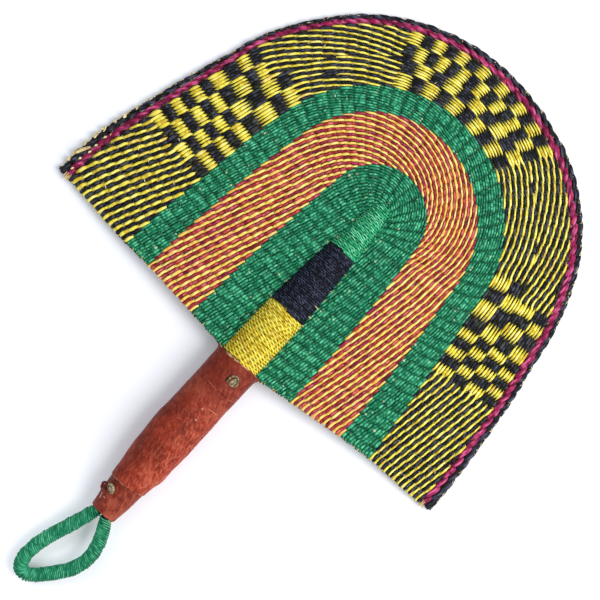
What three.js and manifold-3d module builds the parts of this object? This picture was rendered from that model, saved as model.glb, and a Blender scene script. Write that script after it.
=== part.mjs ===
// Woven hand fan: a straw bundle in a leather grip, a wound hanging loop, and a blade of stakes and weft.
// Millimetres. +Y runs from the grip to the blade's tip, +Z is up, and the grip's middle is the origin.
import * as THREE from "three";
import { mergeVertices } from "three/addons/utils/BufferGeometryUtils.js";
import Module from "manifold-3d";

const wasm = await Module();
wasm.setup();

// Clearances
const GAP = 0.3; // between two pieces that touch on the real fan
const TURN_GAP = 0.6; // between two turns of a winding
const SIDE_GAP = 0.4; // between the spine's wrap and the first weft

// Hanging loop: a cord of straw wound with grass, its legs side by side in the collar's mouth
const LOOP_CORE = 3; // the cord's radius
const LEG_GAP = 1; // between the bare legs in the mouth
const LOOP_STRAND = 1; // thickness of the wound strand
const LOOP_STRAND_GAP = 0.45; // its straight pieces dip towards the cord in a bend
const LOOP_TURNS = 24;
const LOOP_TURN_GAP = 1.7; // along the cord's middle: on the inside of a bend the turns lie closer
const LOOP_SIDES = 6;
const LOOP_RING_STEP = 3.5;
const LOOP_DROOP = 5.6; // how much lower the loop's far end lies
// The cord's way from one leg to the other, as [x, distance beyond the hinge]
const LOOP_ROUTE = [
  [-2.6, 6], [-5.2, 15], [-8, 23.5], [-10.7, 31.5], [-12.9, 39.5], [-14.1, 47], [-14, 54], [-11.8, 59.6],
  [-7.4, 61.4], [-2.8, 58.5], [1.6, 53.6], [6, 48.1], [10.3, 42], [13.3, 35.3], [14.7, 28.5], [14.2, 21.6],
  [12.3, 15], [9.8, 9],
];

// Grip
const GRIP_LENGTH = 121;
const GRIP_HALF_WIDTH = 15;
const FLATNESS = 0.82; // thickness over width of the bundle and its sleeves
const FLAT_DEPTH = 0.5; // how far the underside is pressed flat
const LEATHER = 1.3;
const MOUTH_LEATHER = 1; // pared thinner where the loop comes out
const MOUTH_CLEARANCE = 1.2; // beside the loop's legs
const LIP = { length: 3.5, flare: 1.8 }; // where the cuff opens towards the blade
const CUFF_LENGTH = 20.5;
const COLLAR_LENGTH = 21.5;
const GRIP_DRIFT = 2.25; // how far the loop's end of the grip bends to +X
const BINDING = { width: 6, thickness: 0.9, fromCuff: 16, fromCollar: 8 };
const MOUTH_Y = -GRIP_LENGTH / 2;
const LIP_Y = GRIP_LENGTH / 2;
const HINGE_Y = MOUTH_Y + 1.5;
const BUNDLE_END = HINGE_Y + LOOP_CORE + 0.5;
const MOUTH_HALF_WIDTH = 2 * LOOP_CORE + LEG_GAP / 2 + MOUTH_CLEARANCE + MOUTH_LEATHER;
// Half the grip's width, as [distance from the collar's mouth, half width], read from its outline
const GRIP_OUTLINE = [
  [0, MOUTH_HALF_WIDTH], [10.5, 10.1], [COLLAR_LENGTH, 11.25], [30.5, 12], [40.5, 13.5],
  [60.5, GRIP_HALF_WIDTH], [GRIP_LENGTH - LIP.length, GRIP_HALF_WIDTH],
  [GRIP_LENGTH, GRIP_HALF_WIDTH + LIP.flare],
].map(([distance, halfWidth]) => [MOUTH_Y + distance, halfWidth]);

// Spine: the bundle goes on up the blade and thins to its tip
const SPINE_LENGTH = 121; // to the middle of its round tip
const SPINE_HALF_WIDTH = 13.2;
const SPINE_TIP_RADIUS = 6.4;
const SPINE_SWELL = 2.2;
const SPINE_START = LIP_Y + 0.5;
const SPINE_TIP_CENTRE = SPINE_START + SPINE_LENGTH;
const WRAP = 1.1; // thickness of a wound strand
const WRAP_PITCH = 3.7;
const WRAP_JOINT = 0.6; // between two wraps
const YELLOW_END = SPINE_START + 41;
const NAVY_END = YELLOW_END + 48;
const GREEN_END = SPINE_TIP_CENTRE + 2;
const WRAPS = [
  { name: "yellow_spine_wrap", from: SPINE_START, to: YELLOW_END, colour: 0xd7b92e },
  { name: "navy_spine_wrap", from: YELLOW_END, to: NAVY_END, colour: 0x1b2136 },
  { name: "green_spine_wrap", from: NAVY_END, to: GREEN_END, colour: 0x138a5a },
];
const ROUND_STEPS = 12; // sides of the bundle, and steps of a strand in one turn round it

// Blade. Each edge between two bands is a line of weft: straight legs, swollen a little, on a round cap.
// A base point is [x, distance above the spine's start].
// A cap's middle is [x, distance below the middle of the spine's tip].
const BAND_EDGES = [
  { left: [-40.5, 3], right: [38.5, 3], cap: [-0.5, 3.5], radius: 31.5, swell: [1.2, 1.8] },
  { left: [-79, 6.5], right: [74.5, 8], cap: [-1.5, 7.2], radius: 65.2, swell: [2, 1.5] },
  { left: [-97.5, 7.5], right: [96, 10.5], cap: [-1.5, 8.5], radius: 82, swell: [1.4, 0.8] },
  { left: [-149, 9], right: [136, 11.5], cap: [-1, 17.5], radius: 126.5, swell: [4, 3] },
  { left: [-153, 9], right: [140, 11.8], cap: [-0.5, 17.2], radius: 130.2, swell: [4, 3] },
  { left: [-158, 9], right: [144, 12], cap: [0, 16], radius: 132, swell: [4, 3] },
];
const STAKE_WIDTH = 2.6;
const STAKE_THICKNESS = 1.8;
const STUB = 2.5; // a stake's cut end past the rim
const WEFT = 1.2; // thickness of a weft strip
const EDGE_INSET = 0.2; // each weft strip stays this far inside its band
const SIDE_STAKES = 8; // on each straight side of the blade
const CAP_STAKES = 23; // round the blade's top
const SIDE_SPAN = [0.86, 0.92]; // share of a side that its stakes take, at the spine and at the rim
const CHORD_SAG = 0.15; // how far a strip's straight pieces may cut inside its arc
const DISH = 1.5; // the power by which the blade bends down towards its rim

const HANDLE_Z = FLATNESS * GRIP_HALF_WIDTH - FLAT_DEPTH;
const WEAVE_OFFSET = STAKE_THICKNESS / 2 + GAP + WEFT / 2; // from a stake's middle to a strip's middle
const RIM_Z = WEAVE_OFFSET + WEFT / 2 + 0.05; // the rim's underside comes down to the surface

const mix = (a, b, t) => a + (b - a) * t;
const mixPoint = (a, b, t) => a.map((value, i) => mix(value, b[i], t));

function material(colour, roughness = 0.75) {
  return new THREE.MeshStandardMaterial({ color: colour, roughness, metalness: 0 });
}

// A value read along an outline of [place, value] pairs
function along(outline, place) {
  const next = Math.min(Math.max(outline.findIndex(([at]) => at >= place), 1), outline.length - 1);
  const index = place > outline.at(-1)[0] ? outline.length - 1 : next;
  const [[fromPlace, fromValue], [toPlace, toValue]] = [outline[index - 1], outline[index]];
  return mix(fromValue, toValue, THREE.MathUtils.clamp((place - fromPlace) / (toPlace - fromPlace), 0, 1));
}

function signedVolume(geometry) {
  const { position } = geometry.attributes;
  const [a, b, c] = [new THREE.Vector3(), new THREE.Vector3(), new THREE.Vector3()];
  let volume = 0;
  for (let i = 0; i < geometry.index.count; i += 3) {
    a.fromBufferAttribute(position, geometry.index.getX(i));
    b.fromBufferAttribute(position, geometry.index.getX(i + 1));
    c.fromBufferAttribute(position, geometry.index.getX(i + 2));
    volume += a.dot(b.cross(c)) / 6;
  }
  return volume;
}

// Leaves only merged positions, with every face pointing out
function solid(geometry) {
  geometry.deleteAttribute("normal");
  geometry.deleteAttribute("uv");
  const merged = mergeVertices(geometry, 1e-4);
  if (signedVolume(merged) < 0) merged.index.array.reverse();
  return merged;
}

// A closed skin over rings of points, capped at both ends
function skin(rings) {
  const sides = rings[0].length;
  const index = [];
  for (let r = 0; r + 1 < rings.length; r += 1) {
    for (let i = 0; i < sides; i += 1) {
      const [a, b] = [r * sides + i, r * sides + (i + 1) % sides];
      index.push(a, b, b + sides, a, b + sides, a + sides);
    }
  }
  const last = (rings.length - 1) * sides;
  for (let i = 1; i + 1 < sides; i += 1) index.push(0, i + 1, i, last, last + i, last + i + 1);
  const geometry = new THREE.BufferGeometry().setFromPoints(rings.flat());
  geometry.setIndex(index);
  return solid(geometry);
}

function toManifold(geometry) {
  const vertProperties = Float32Array.from(geometry.attributes.position.array);
  const triVerts = Uint32Array.from(geometry.index.array);
  return new wasm.Manifold(new wasm.Mesh({ numProp: 3, vertProperties, triVerts }));
}

function fromManifold(body) {
  const { vertProperties, triVerts } = body.getMesh();
  const geometry = new THREE.BufferGeometry();
  geometry.setAttribute("position", new THREE.BufferAttribute(vertProperties, 3));
  geometry.setIndex(new THREE.BufferAttribute(triVerts, 1));
  return geometry;
}

// Presses the underside flat where it would reach below the surface that the fan lies on
function flatUnderside(geometry) {
  const floor = new THREE.BoxGeometry(100, 400, 20).translate(0, 0, -10);
  return fromManifold(toManifold(geometry).subtract(toManifold(solid(floor))));
}

// Grip and bundle
const gripHalfWidth = (y) => along(GRIP_OUTLINE, y);

// Sideways bend of the grip's axis, nothing at the spine and all of GRIP_DRIFT at the loop
const gripDrift = (y) => GRIP_DRIFT * Math.max(0, (SPINE_START - y) / (SPINE_START - HINGE_Y)) ** 2;

function spineHalfWidth(y) {
  const t = (y - SPINE_START) / (SPINE_TIP_CENTRE - SPINE_START);
  if (t <= 1) return mix(SPINE_HALF_WIDTH, SPINE_TIP_RADIUS, t) + 4 * t * (1 - t) * SPINE_SWELL;
  return Math.sqrt(Math.max(0, SPINE_TIP_RADIUS ** 2 - (y - SPINE_TIP_CENTRE) ** 2));
}

const BINDING_PLACES = [
  LIP_Y - CUFF_LENGTH - BINDING.fromCuff,
  MOUTH_Y + COLLAR_LENGTH + BINDING.fromCollar,
];
const gripBundleRadius = (y) => Math.min(gripHalfWidth(y), GRIP_HALF_WIDTH) - LEATHER - GAP;
const spineBundleRadius = (y) => spineHalfWidth(y) - WRAP - GAP / FLATNESS;

// The bundle's radius at each of its rings: the wraps and sleeves read the same list
function bundleOutline() {
  const outline = [[BUNDLE_END, gripBundleRadius(BUNDLE_END)]];
  const inGroove = (y) => BINDING_PLACES.some((place) => Math.abs(y - place) < BINDING.width / 2 + 2 * GAP);
  for (const [y] of GRIP_OUTLINE) {
    if (y > BUNDLE_END && y < SPINE_START - 2 && !inGroove(y)) outline.push([y, gripBundleRadius(y)]);
  }
  for (const y of BINDING_PLACES) {
    const [start, end] = [y - BINDING.width / 2 - GAP, y + BINDING.width / 2 + GAP];
    const groove = BINDING.thickness + GAP;
    outline.push([start - 0.01, gripBundleRadius(start)], [start, gripBundleRadius(start) - groove]);
    outline.push([end, gripBundleRadius(end) - groove], [end + 0.01, gripBundleRadius(end)]);
  }
  const steps = 12;
  for (let i = 0; i <= steps; i += 1) {
    const y = mix(SPINE_START - 1, SPINE_TIP_CENTRE, i / steps);
    outline.push([y, spineBundleRadius(Math.max(y, SPINE_START))]);
  }
  for (const share of [0.3, 0.55, 0.75, 0.95]) {
    const radius = SPINE_TIP_RADIUS - WRAP - GAP / FLATNESS;
    outline.push([SPINE_TIP_CENTRE + radius * share, radius * Math.sqrt(1 - share ** 2)]);
  }
  return outline.sort((a, b) => a[0] - b[0]);
}
const BUNDLE_OUTLINE = bundleOutline();
const bundleRadius = (y) => along(BUNDLE_OUTLINE, y);

// Flattens a turned shape, bends it and lifts it to the handle's height. The lip flares sideways only.
function layInHandle(geometry) {
  const { position } = geometry.attributes;
  for (let i = 0; i < position.count; i += 1) {
    const y = position.getY(i);
    const lip = Math.min(1, GRIP_HALF_WIDTH / gripHalfWidth(y));
    const squeeze = y < SPINE_START ? FLATNESS * lip : FLATNESS;
    position.setX(i, position.getX(i) + gripDrift(y));
    position.setZ(i, position.getZ(i) * squeeze + HANDLE_Z);
  }
  return geometry;
}

function turned(profile, segments) {
  const points = profile.map(([y, radius]) => new THREE.Vector2(radius, y));
  return layInHandle(solid(new THREE.LatheGeometry(points, segments)));
}

function strawBundle() {
  const [start, end] = [BUNDLE_OUTLINE[0], BUNDLE_OUTLINE.at(-1)];
  return turned([[start[0], 0], ...BUNDLE_OUTLINE, [end[0] + 0.2, 0]], ROUND_STEPS);
}

// A sleeve of leather over the bundle from one place to another
function sleeve(from, to) {
  const wall = (y) => (y < BUNDLE_END ? MOUTH_LEATHER : LEATHER);
  const places = [from, ...GRIP_OUTLINE.map(([y]) => y).filter((y) => y > from && y < to), to];
  const outer = places.map((y) => [y, gripHalfWidth(y)]);
  const inner = places.map((y) => [y, gripHalfWidth(y) - wall(y)]).reverse();
  return flatUnderside(turned([...outer, ...inner, outer[0]], 24));
}

function binding(y) {
  const [start, end] = [y - BINDING.width / 2, y + BINDING.width / 2];
  const groove = BINDING.thickness + GAP;
  const inner = [start, end].map((at) => [at, gripBundleRadius(at) - groove + GAP]);
  const outer = [end, start].map((at) => [at, gripBundleRadius(at)]);
  return turned([...inner, ...outer, inner[0]], 24);
}

// A knot of leather lace on the sleeve's upper side
function laceKnot(x, y, width, length, height) {
  const across = (x - gripDrift(y)) / gripHalfWidth(y);
  const top = HANDLE_Z + FLATNESS * gripHalfWidth(y) * Math.sqrt(1 - across ** 2);
  const knot = new THREE.SphereGeometry(0.5, 10, 7).scale(width, length, height);
  knot.rotateY(Math.asin(across) * FLATNESS);
  return solid(knot.translate(x, y, top + GAP + height / 2 + 0.2));
}

// Prints the least gap that a wound strand leaves to itself, measured between the points of its turns
function printLeastGap(name, rings, stepsPerTurn) {
  let least = Infinity;
  rings.forEach((ring, i) => {
    for (const other of rings.slice(i + stepsPerTurn / 2, i + stepsPerTurn * 2)) {
      for (const a of ring) for (const b of other) least = Math.min(least, a.distanceTo(b));
    }
  });
  console.log(`${name}: least gap to itself ${least.toFixed(2)} mm`);
}

// One strand wound round the spine, its steps on the bundle's own corners
function spineWrap({ name, from, to }) {
  const length = to - from - WRAP_JOINT;
  const turns = Math.round(length / WRAP_PITCH) - 1;
  const pitch = length / (turns + 1);
  const half = (pitch - TURN_GAP) / 2;
  const rings = [];
  for (let i = 0; i <= turns * ROUND_STEPS; i += 1) {
    const angle = (i / ROUND_STEPS) * Math.PI * 2;
    const middle = from + WRAP_JOINT / 2 + pitch * (0.5 + i / ROUND_STEPS);
    const corner = (side, out) => {
      const y = middle + side * half;
      const radius = bundleRadius(y) + GAP / FLATNESS + out;
      return new THREE.Vector3(radius * Math.sin(angle), y, radius * Math.cos(angle) * FLATNESS + HANDLE_Z);
    };
    rings.push([corner(-1, 0), corner(-1, WRAP), corner(1, WRAP), corner(1, 0)]);
  }
  printLeastGap(name, rings, ROUND_STEPS);
  return skin(rings);
}

// The first line runs beside the spine's wrap, and the others are placed from its start and its tip
const SPINE_EDGE = {
  left: [-SPINE_HALF_WIDTH - SIDE_GAP, SPINE_START],
  right: [SPINE_HALF_WIDTH + SIDE_GAP, SPINE_START],
  centre: [0, SPINE_TIP_CENTRE],
  radius: SPINE_TIP_RADIUS + SIDE_GAP,
  swell: [SPINE_SWELL, SPINE_SWELL],
};

function placedEdge({ left, right, cap, radius, swell }) {
  const base = ([x, above]) => [x, SPINE_START + above];
  const centre = [cap[0], SPINE_TIP_CENTRE - cap[1]];
  return { left: base(left), right: base(right), centre, radius, swell };
}

// One line of weft, measured by arc length from its left base point
function weftLine({ left, right, centre, radius, swell }) {
  const leg = (base, side, bulge) => {
    const [dx, dy] = [Math.abs(centre[0] - base[0]), centre[1] - base[1]];
    const lean = Math.atan2(dx, dy) - Math.asin(radius / Math.hypot(dx, dy));
    const normal = [side * Math.cos(lean), Math.sin(lean)];
    const top = [centre[0] + radius * normal[0], centre[1] + radius * normal[1]];
    const length = Math.hypot(top[0] - base[0], top[1] - base[1]);
    const at = (s) => {
      const t = s / length;
      const out = 4 * t * (1 - t) * bulge;
      return [mix(base[0], top[0], t) + normal[0] * out, mix(base[1], top[1], t) + normal[1] * out];
    };
    return { lean, length, at, direction: [(top[0] - base[0]) / length, (top[1] - base[1]) / length] };
  };
  const [up, down] = [leg(left, -1, swell[0]), leg(right, 1, swell[1])];
  const sweep = Math.PI - up.lean - down.lean;
  const length = up.length + radius * sweep + down.length;
  const at = (s) => {
    if (s < up.length) return { point: up.at(s), direction: up.direction };
    if (s > length - down.length) {
      return { point: down.at(length - s), direction: down.direction.map((d) => -d) };
    }
    const angle = Math.PI - up.lean - (s - up.length) / radius;
    const [c, n] = [Math.cos(angle), Math.sin(angle)];
    return { point: [centre[0] + radius * c, centre[1] + radius * n], direction: [n, -c] };
  };
  return { length, radius, capStart: up.length, capEnd: length - down.length, at };
}

function middleEdge(a, b) {
  const edge = { radius: mix(a.radius, b.radius, 0.5) };
  for (const key of ["left", "right", "centre", "swell"]) edge[key] = mixPoint(a[key], b[key], 0.5);
  return edge;
}

// The two wide bands are each woven as two strips
const EDGES = [SPINE_EDGE, ...BAND_EDGES.map(placedEdge)];
const WIDE_BANDS = [1, 3];
const STRIP_EDGES = EDGES.flatMap((edge, i) => {
  return WIDE_BANDS.includes(i) ? [edge, middleEdge(edge, EDGES[i + 1])] : [edge];
});
const STRIPS = [
  { name: "inner_green_weft", colour: 0x0f8c5c },
  { name: "red_yellow_weft_inner", colour: 0xb03a2e },
  { name: "red_yellow_weft_outer", colour: 0xe2b23a },
  { name: "outer_green_weft", colour: 0x0f8c5c },
  { name: "patterned_weft_inner", colour: 0xe8cf3c },
  { name: "patterned_weft_outer", colour: 0x23283a },
  { name: "magenta_edge_weft", colour: 0xa61e5a },
  { name: "navy_rim_weft", colour: 0x161b2c },
];

// How far out an edge lies, from 0 at the spine to 1 at the rim
function reach(edge) {
  const halfWidth = ({ left, right }) => (right[0] - left[0]) / 2;
  const [first, last] = [halfWidth(STRIP_EDGES[0]), halfWidth(STRIP_EDGES.at(-1))];
  return (halfWidth(edge) - first) / (last - first);
}

// The blade is dished: its middle meets the spine and its rim comes down to the surface
const LINES = STRIP_EDGES.map((edge) => {
  const out = reach(edge);
  const span = mix(SIDE_SPAN[0], SIDE_SPAN[1], out);
  return { ...weftLine(edge), z: mix(HANDLE_Z, RIM_Z, out ** DISH), span };
});

// Stakes in order from the left base corner over the top. Each knows the first line it crosses.
function stakeList() {
  const stakes = [];
  for (let i = 1; i <= SIDE_STAKES; i += 1) {
    stakes.push({ name: `stake_left_${i}`, side: -1, step: i - 0.5, first: 0 });
  }
  for (let i = 1; i <= CAP_STAKES; i += 1) {
    const name = `stake_top_${String(i).padStart(2, "0")}`;
    const firstOfEven = i % 4 === 0 ? 0 : 1;
    stakes.push({ name, side: 0, step: i / (CAP_STAKES + 1), first: i % 2 === 0 ? firstOfEven : 4 });
  }
  for (let i = SIDE_STAKES; i > 0; i -= 1) {
    stakes.push({ name: `stake_right_${i}`, side: 1, step: i - 0.5, first: 0 });
  }
  return stakes;
}
const STAKES = stakeList();

// Where a stake crosses a line, as an arc length along it
function crossing({ side, step }, line) {
  const left = line.span * line.capStart;
  const right = line.span * (line.length - line.capEnd);
  if (side < 0) return (step / SIDE_STAKES) * left;
  if (side > 0) return line.length - (step / SIDE_STAKES) * right;
  return mix(left, line.length - right, step);
}

function linePoint(line, s, z = line.z) {
  const [x, y] = line.at(s).point;
  return new THREE.Vector3(x, y, z);
}

// A flat split stake through every line that it crosses, with a cut stub past the rim
function stakeGeometry(stake) {
  const points = LINES.slice(stake.first).map((line) => linePoint(line, crossing(stake, line)));
  const sides = LINES.slice(stake.first).map((line) => {
    const [x, y] = line.at(crossing(stake, line)).direction;
    return new THREE.Vector3(x, y, 0);
  });
  const outward = points.at(-1).clone().sub(points.at(-2)).normalize();
  points.push(points.at(-1).clone().addScaledVector(outward, STUB));
  sides.push(sides.at(-1));
  const inward = points[1].clone().sub(points[0]).normalize();
  points[0].addScaledVector(inward, EDGE_INSET);
  const corners = [[-1, -1], [1, -1], [1, 1], [-1, 1]];
  const rings = points.map((point, i) => corners.map(([across, up]) => {
    const lift = new THREE.Vector3(0, 0, (up * STAKE_THICKNESS) / 2);
    return point.clone().addScaledVector(sides[i], (across * STAKE_WIDTH) / 2).add(lift);
  }));
  return skin(rings);
}

// A strip's places along its two edges: flat over or under each stake, and sloping in between
function stripStations(inner, outer, stakes, phase) {
  const flat = STAKE_WIDTH / 2 + GAP;
  const stations = [{ at: [0, 0], level: phase }];
  const add = (a, b, steps) => {
    for (let i = 1; i <= steps; i += 1) {
      stations.push({ at: mixPoint(a.at, b.at, i / steps), level: mix(a.level, b.level, i / steps) });
    }
  };
  stakes.forEach((stake, i) => {
    const middle = [crossing(stake, inner), crossing(stake, outer)];
    const level = i % 2 === 0 ? phase : -phase;
    const enter = { at: middle.map((s) => s - flat), level };
    const leave = { at: middle.map((s) => s + flat), level };
    const onCap = stake.side === 0 || stakes[i - 1]?.side === 0;
    const chord = Math.sqrt(8 * inner.radius * CHORD_SAG);
    const slope = enter.at[0] - stations.at(-1).at[0];
    if (i > 0) add(stations.at(-1), enter, onCap ? Math.ceil(slope / chord) : 1);
    stations.push(leave);
  });
  stations.at(-1).at = [inner.length, outer.length];
  return stations;
}

// One strip of weft, woven over and under the stakes between two lines
function weftStrip(index) {
  const [inner, outer] = [LINES[index], LINES[index + 1]];
  const stakes = STAKES.filter(({ first }) => first <= index);
  const phase = index % 2 === 0 ? 1 : -1;
  const rings = stripStations(inner, outer, stakes, phase).map(({ at, level }) => {
    const [a, b] = [linePoint(inner, at[0]), linePoint(outer, at[1])];
    const across = b.clone().sub(a).normalize();
    a.addScaledVector(across, EDGE_INSET);
    b.addScaledVector(across, -EDGE_INSET);
    const raised = (point, side) => {
      return point.clone().setZ(point.z + level * WEAVE_OFFSET + (side * WEFT) / 2);
    };
    return [raised(a, -1), raised(b, -1), raised(b, 1), raised(a, 1)];
  });
  return skin(rings);
}

// Hanging loop: its cord runs out of the collar, round and back, and droops a little
function loopCurve() {
  const legs = [-1, 1].map((side) => GRIP_DRIFT + side * (LOOP_CORE + LEG_GAP / 2));
  const route = [[legs[0], 0], [legs[0] - 0.35, 2], ...LOOP_ROUTE, [legs[1] + 0.65, 2], [legs[1], 0]];
  const length = Math.max(...route.map(([, beyond]) => beyond));
  const points = route.map(([x, beyond]) => {
    return new THREE.Vector3(x, HINGE_Y - beyond, HANDLE_Z - LOOP_DROOP * (beyond / length) ** 1.3);
  });
  const curve = new THREE.CatmullRomCurve3(points, false, "centripetal");
  curve.arcLengthDivisions = 800;
  return curve;
}
const LOOP_CURVE = loopCurve();
const LOOP_LENGTH = LOOP_CURVE.getLength();

// A point at a radius and an angle round the cord, the length s along it
function roundCord(s, radius, angle) {
  const u = THREE.MathUtils.clamp(s / LOOP_LENGTH, 0, 1);
  const tangent = LOOP_CURVE.getTangentAt(u);
  const up = new THREE.Vector3(0, 0, 1).addScaledVector(tangent, -tangent.z).normalize();
  const across = new THREE.Vector3().crossVectors(tangent, up);
  return LOOP_CURVE.getPointAt(u)
    .addScaledVector(across, radius * Math.cos(angle))
    .addScaledVector(up, radius * Math.sin(angle));
}

// The cord, with a ball at each end where it turns in the collar
function loopCore() {
  const ringAt = (s, radius, shift) => {
    const tangent = LOOP_CURVE.getTangentAt(THREE.MathUtils.clamp(s / LOOP_LENGTH, 0, 1));
    return Array.from({ length: LOOP_SIDES }, (_, i) => {
      return roundCord(s, radius, (i / LOOP_SIDES) * Math.PI * 2).addScaledVector(tangent, shift);
    });
  };
  const ball = [0.95, 0.7].map((share) => [LOOP_CORE * Math.sqrt(1 - share ** 2), LOOP_CORE * share]);
  const rings = ball.map(([radius, out]) => ringAt(0, radius, -out));
  const steps = Math.round(LOOP_LENGTH / LOOP_RING_STEP);
  for (let i = 0; i <= steps; i += 1) rings.push(ringAt((LOOP_LENGTH * i) / steps, LOOP_CORE, 0));
  ball.reverse().forEach(([radius, out]) => rings.push(ringAt(LOOP_LENGTH, radius, out)));
  return skin(rings);
}

// How far along the cord its two legs stand far enough apart for the winding
function windingStart() {
  const apart = 2 * (LOOP_CORE + LOOP_STRAND_GAP + LOOP_STRAND) + GAP;
  const legGap = (s) => {
    return LOOP_CURVE.getPointAt(s / LOOP_LENGTH).distanceTo(LOOP_CURVE.getPointAt(1 - s / LOOP_LENGTH));
  };
  let start = HINGE_Y - MOUTH_Y + LOOP_STRAND;
  while (legGap(start) < apart) start += 0.25;
  return start;
}

// The strand wound round the cord from one leg to the other
function loopWinding() {
  const start = windingStart();
  const pitch = (LOOP_LENGTH - 2 * start) / (LOOP_TURNS + 1);
  const half = (pitch - LOOP_TURN_GAP) / 2;
  const rings = [];
  for (let i = 0; i <= LOOP_TURNS * LOOP_SIDES; i += 1) {
    const angle = (i / LOOP_SIDES) * Math.PI * 2;
    const middle = start + pitch * (0.5 + i / LOOP_SIDES);
    const corner = (side, out) => roundCord(middle + side * half, LOOP_CORE + LOOP_STRAND_GAP + out, angle);
    const outside = [-1, 0, 1].map((side) => corner(side, LOOP_STRAND));
    const inside = [1, 0, -1].map((side) => corner(side, 0));
    rings.push([...outside, ...inside]);
  }
  printLeastGap("loop_winding", rings, LOOP_SIDES);
  return skin(rings);
}

const group = new THREE.Group();

function add(name, geometry, look) {
  const mesh = new THREE.Mesh(geometry, look);
  mesh.name = name;
  group.add(mesh);
}

const leather = material(0x9a3b26, 0.6);
const straw = material(0xd9c489, 0.85);
const lace = material(0xa89a78, 0.8);
const green = material(0x0f8c5c, 0.7);

add("straw_bundle", strawBundle(), straw);
BINDING_PLACES.forEach((y, i) => add(`bundle_binding_${i + 1}`, binding(y), straw));
const cuffStart = LIP_Y - CUFF_LENGTH;
const collarEnd = MOUTH_Y + COLLAR_LENGTH;
add("leather_cuff", sleeve(cuffStart + GAP, LIP_Y), leather);
add("leather_grip", sleeve(collarEnd + GAP, cuffStart), leather);
add("leather_collar", sleeve(MOUTH_Y, collarEnd), leather);
add("cuff_lace_knot", laceKnot(5, LIP_Y - 11, 4, 5.5, 2.4), lace);
add("collar_lace_knot", laceKnot(-4.5, MOUTH_Y + 13, 5, 4, 2.6), lace);
for (const wrap of WRAPS) add(wrap.name, spineWrap(wrap), material(wrap.colour, 0.7));
STRIPS.forEach((strip, i) => add(strip.name, weftStrip(i), material(strip.colour, 0.7)));
for (const stake of STAKES) add(stake.name, stakeGeometry(stake), straw);
add("loop_core", loopCore(), straw);
add("loop_winding", loopWinding(), green);

export default group;
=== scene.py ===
"""Woven hand fan: dyed grass twined over straw stakes, a wound spine, a leather grip and a hanging loop.

Lengths in this file are millimetres and become metres when a piece is made.
+Y runs from the grip to the blade's tip, and +Z is up from the surface that the fan lies on.
"""
import math
from types import SimpleNamespace

import bmesh
import bpy
import numpy as np
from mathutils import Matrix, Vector, noise


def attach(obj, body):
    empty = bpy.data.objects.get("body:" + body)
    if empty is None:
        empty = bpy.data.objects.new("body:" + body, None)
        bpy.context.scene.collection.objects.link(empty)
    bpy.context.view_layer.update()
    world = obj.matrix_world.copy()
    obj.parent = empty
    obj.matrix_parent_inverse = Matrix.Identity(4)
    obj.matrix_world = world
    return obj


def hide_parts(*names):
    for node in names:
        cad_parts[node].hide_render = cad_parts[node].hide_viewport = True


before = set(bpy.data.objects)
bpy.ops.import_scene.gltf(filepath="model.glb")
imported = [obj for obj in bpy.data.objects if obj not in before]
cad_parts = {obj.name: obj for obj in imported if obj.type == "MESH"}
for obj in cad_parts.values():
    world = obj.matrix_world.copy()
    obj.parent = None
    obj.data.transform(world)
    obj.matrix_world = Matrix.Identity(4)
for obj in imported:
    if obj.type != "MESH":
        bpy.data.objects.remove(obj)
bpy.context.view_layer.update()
MM = 0.001

# Handle
MOUTH_Y = -60.2
LIP_Y = 60.5
HANDLE_Z = 11.8
FLATNESS = 0.82
GRIP_HALF_WIDTH = 15.0
GRIP_DRIFT = 2.25
HINGE_Y = -59.0
LEATHER = 1.3
MOUTH_LEATHER = 0.5
THINNED_BELOW = -55.5
# Half the grip's width, as [y, half width]
GRIP_OUTLINE = [
    [-60.5, 8.7], [-50, 10.1], [-39, 11.25], [-30, 12], [-20, 13.5], [0, 15], [57, 15], [60.5, 16.8],
]
CUFF_START = 40.0
COLLAR_END = -39.0

# Spine
SPINE_START = 61.0
SPINE_TIP = 182.0
SPINE_HALF_WIDTH = 13.2
SPINE_TIP_RADIUS = 6.4
SPINE_SWELL = 2.2
YELLOW_END = 102.0
NAVY_END = 150.0
GREEN_END = 187.6

# Blade. Each edge between two bands is a line with straight legs, swollen a little, on a round cap: where its left
# and right legs start, the cap's centre and radius, and the legs' swell
EDGES = [
    (-13.6, 61, 13.6, 61, 0, 182, 6.8, 2.2, 2.2),
    (-40.5, 63.5, 38.5, 64.8, -0.5, 178.5, 31.5, 1.2, 1.8),
    (-79, 66, 74.5, 69.9, -1.5, 174.8, 65.2, 2, 1.5),
    (-97.5, 66.6, 96, 72.3, -1.5, 173.5, 82, 1.4, 0.8),
    (-149, 70.9, 136, 73, -1, 164.5, 126.5, 4, 3),
    (-153.6, 70.2, 140, 72.8, -0.5, 164.8, 130.2, 5.2, 3),
    (-158, 69.5, 144.4, 73, 0, 166, 132, 6.4, 3),
]
# The hand-made rim isn't quite even: how far it stands out, as [share of its length, millimetres]
BULGES = [
    [0, 0.5], [0.013, 1.3], [0.06, 1.6], [0.085, 0.4], [0.11, -0.3], [0.14, -0.6], [0.18, 0.1], [0.215, 1.5],
    [0.25, 1], [0.285, -0.6], [0.31, -0.6], [0.34, 0.1], [0.39, 0.5], [0.5, 0.4], [0.53, 0], [0.58, 0.9],
    [0.61, 2.2], [0.69, 2.3], [0.72, 1.4], [0.745, 0], [0.775, -0.7], [0.9, -0.5], [0.96, 0], [0.985, 1.2], [1, 0.8],
]
BLADE_HALF_WIDTHS = (13.6, 151.0)  # at the spine and at the rim
RIM_Z = 2.45
DISH = 1.5
SIDE_STAKES = 16
SIDE_SPAN = (0.86, 0.92)  # share of a side that its stakes take, at the spine and at the rim
CAP_STEPS = 32
OUTER_CAP_STEPS = 48
FORK = 3.25  # the place between spine and rim where every second stake on the cap forks
RIGHT_GATHER = 30.0
ROPE_STEPS = 54
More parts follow.
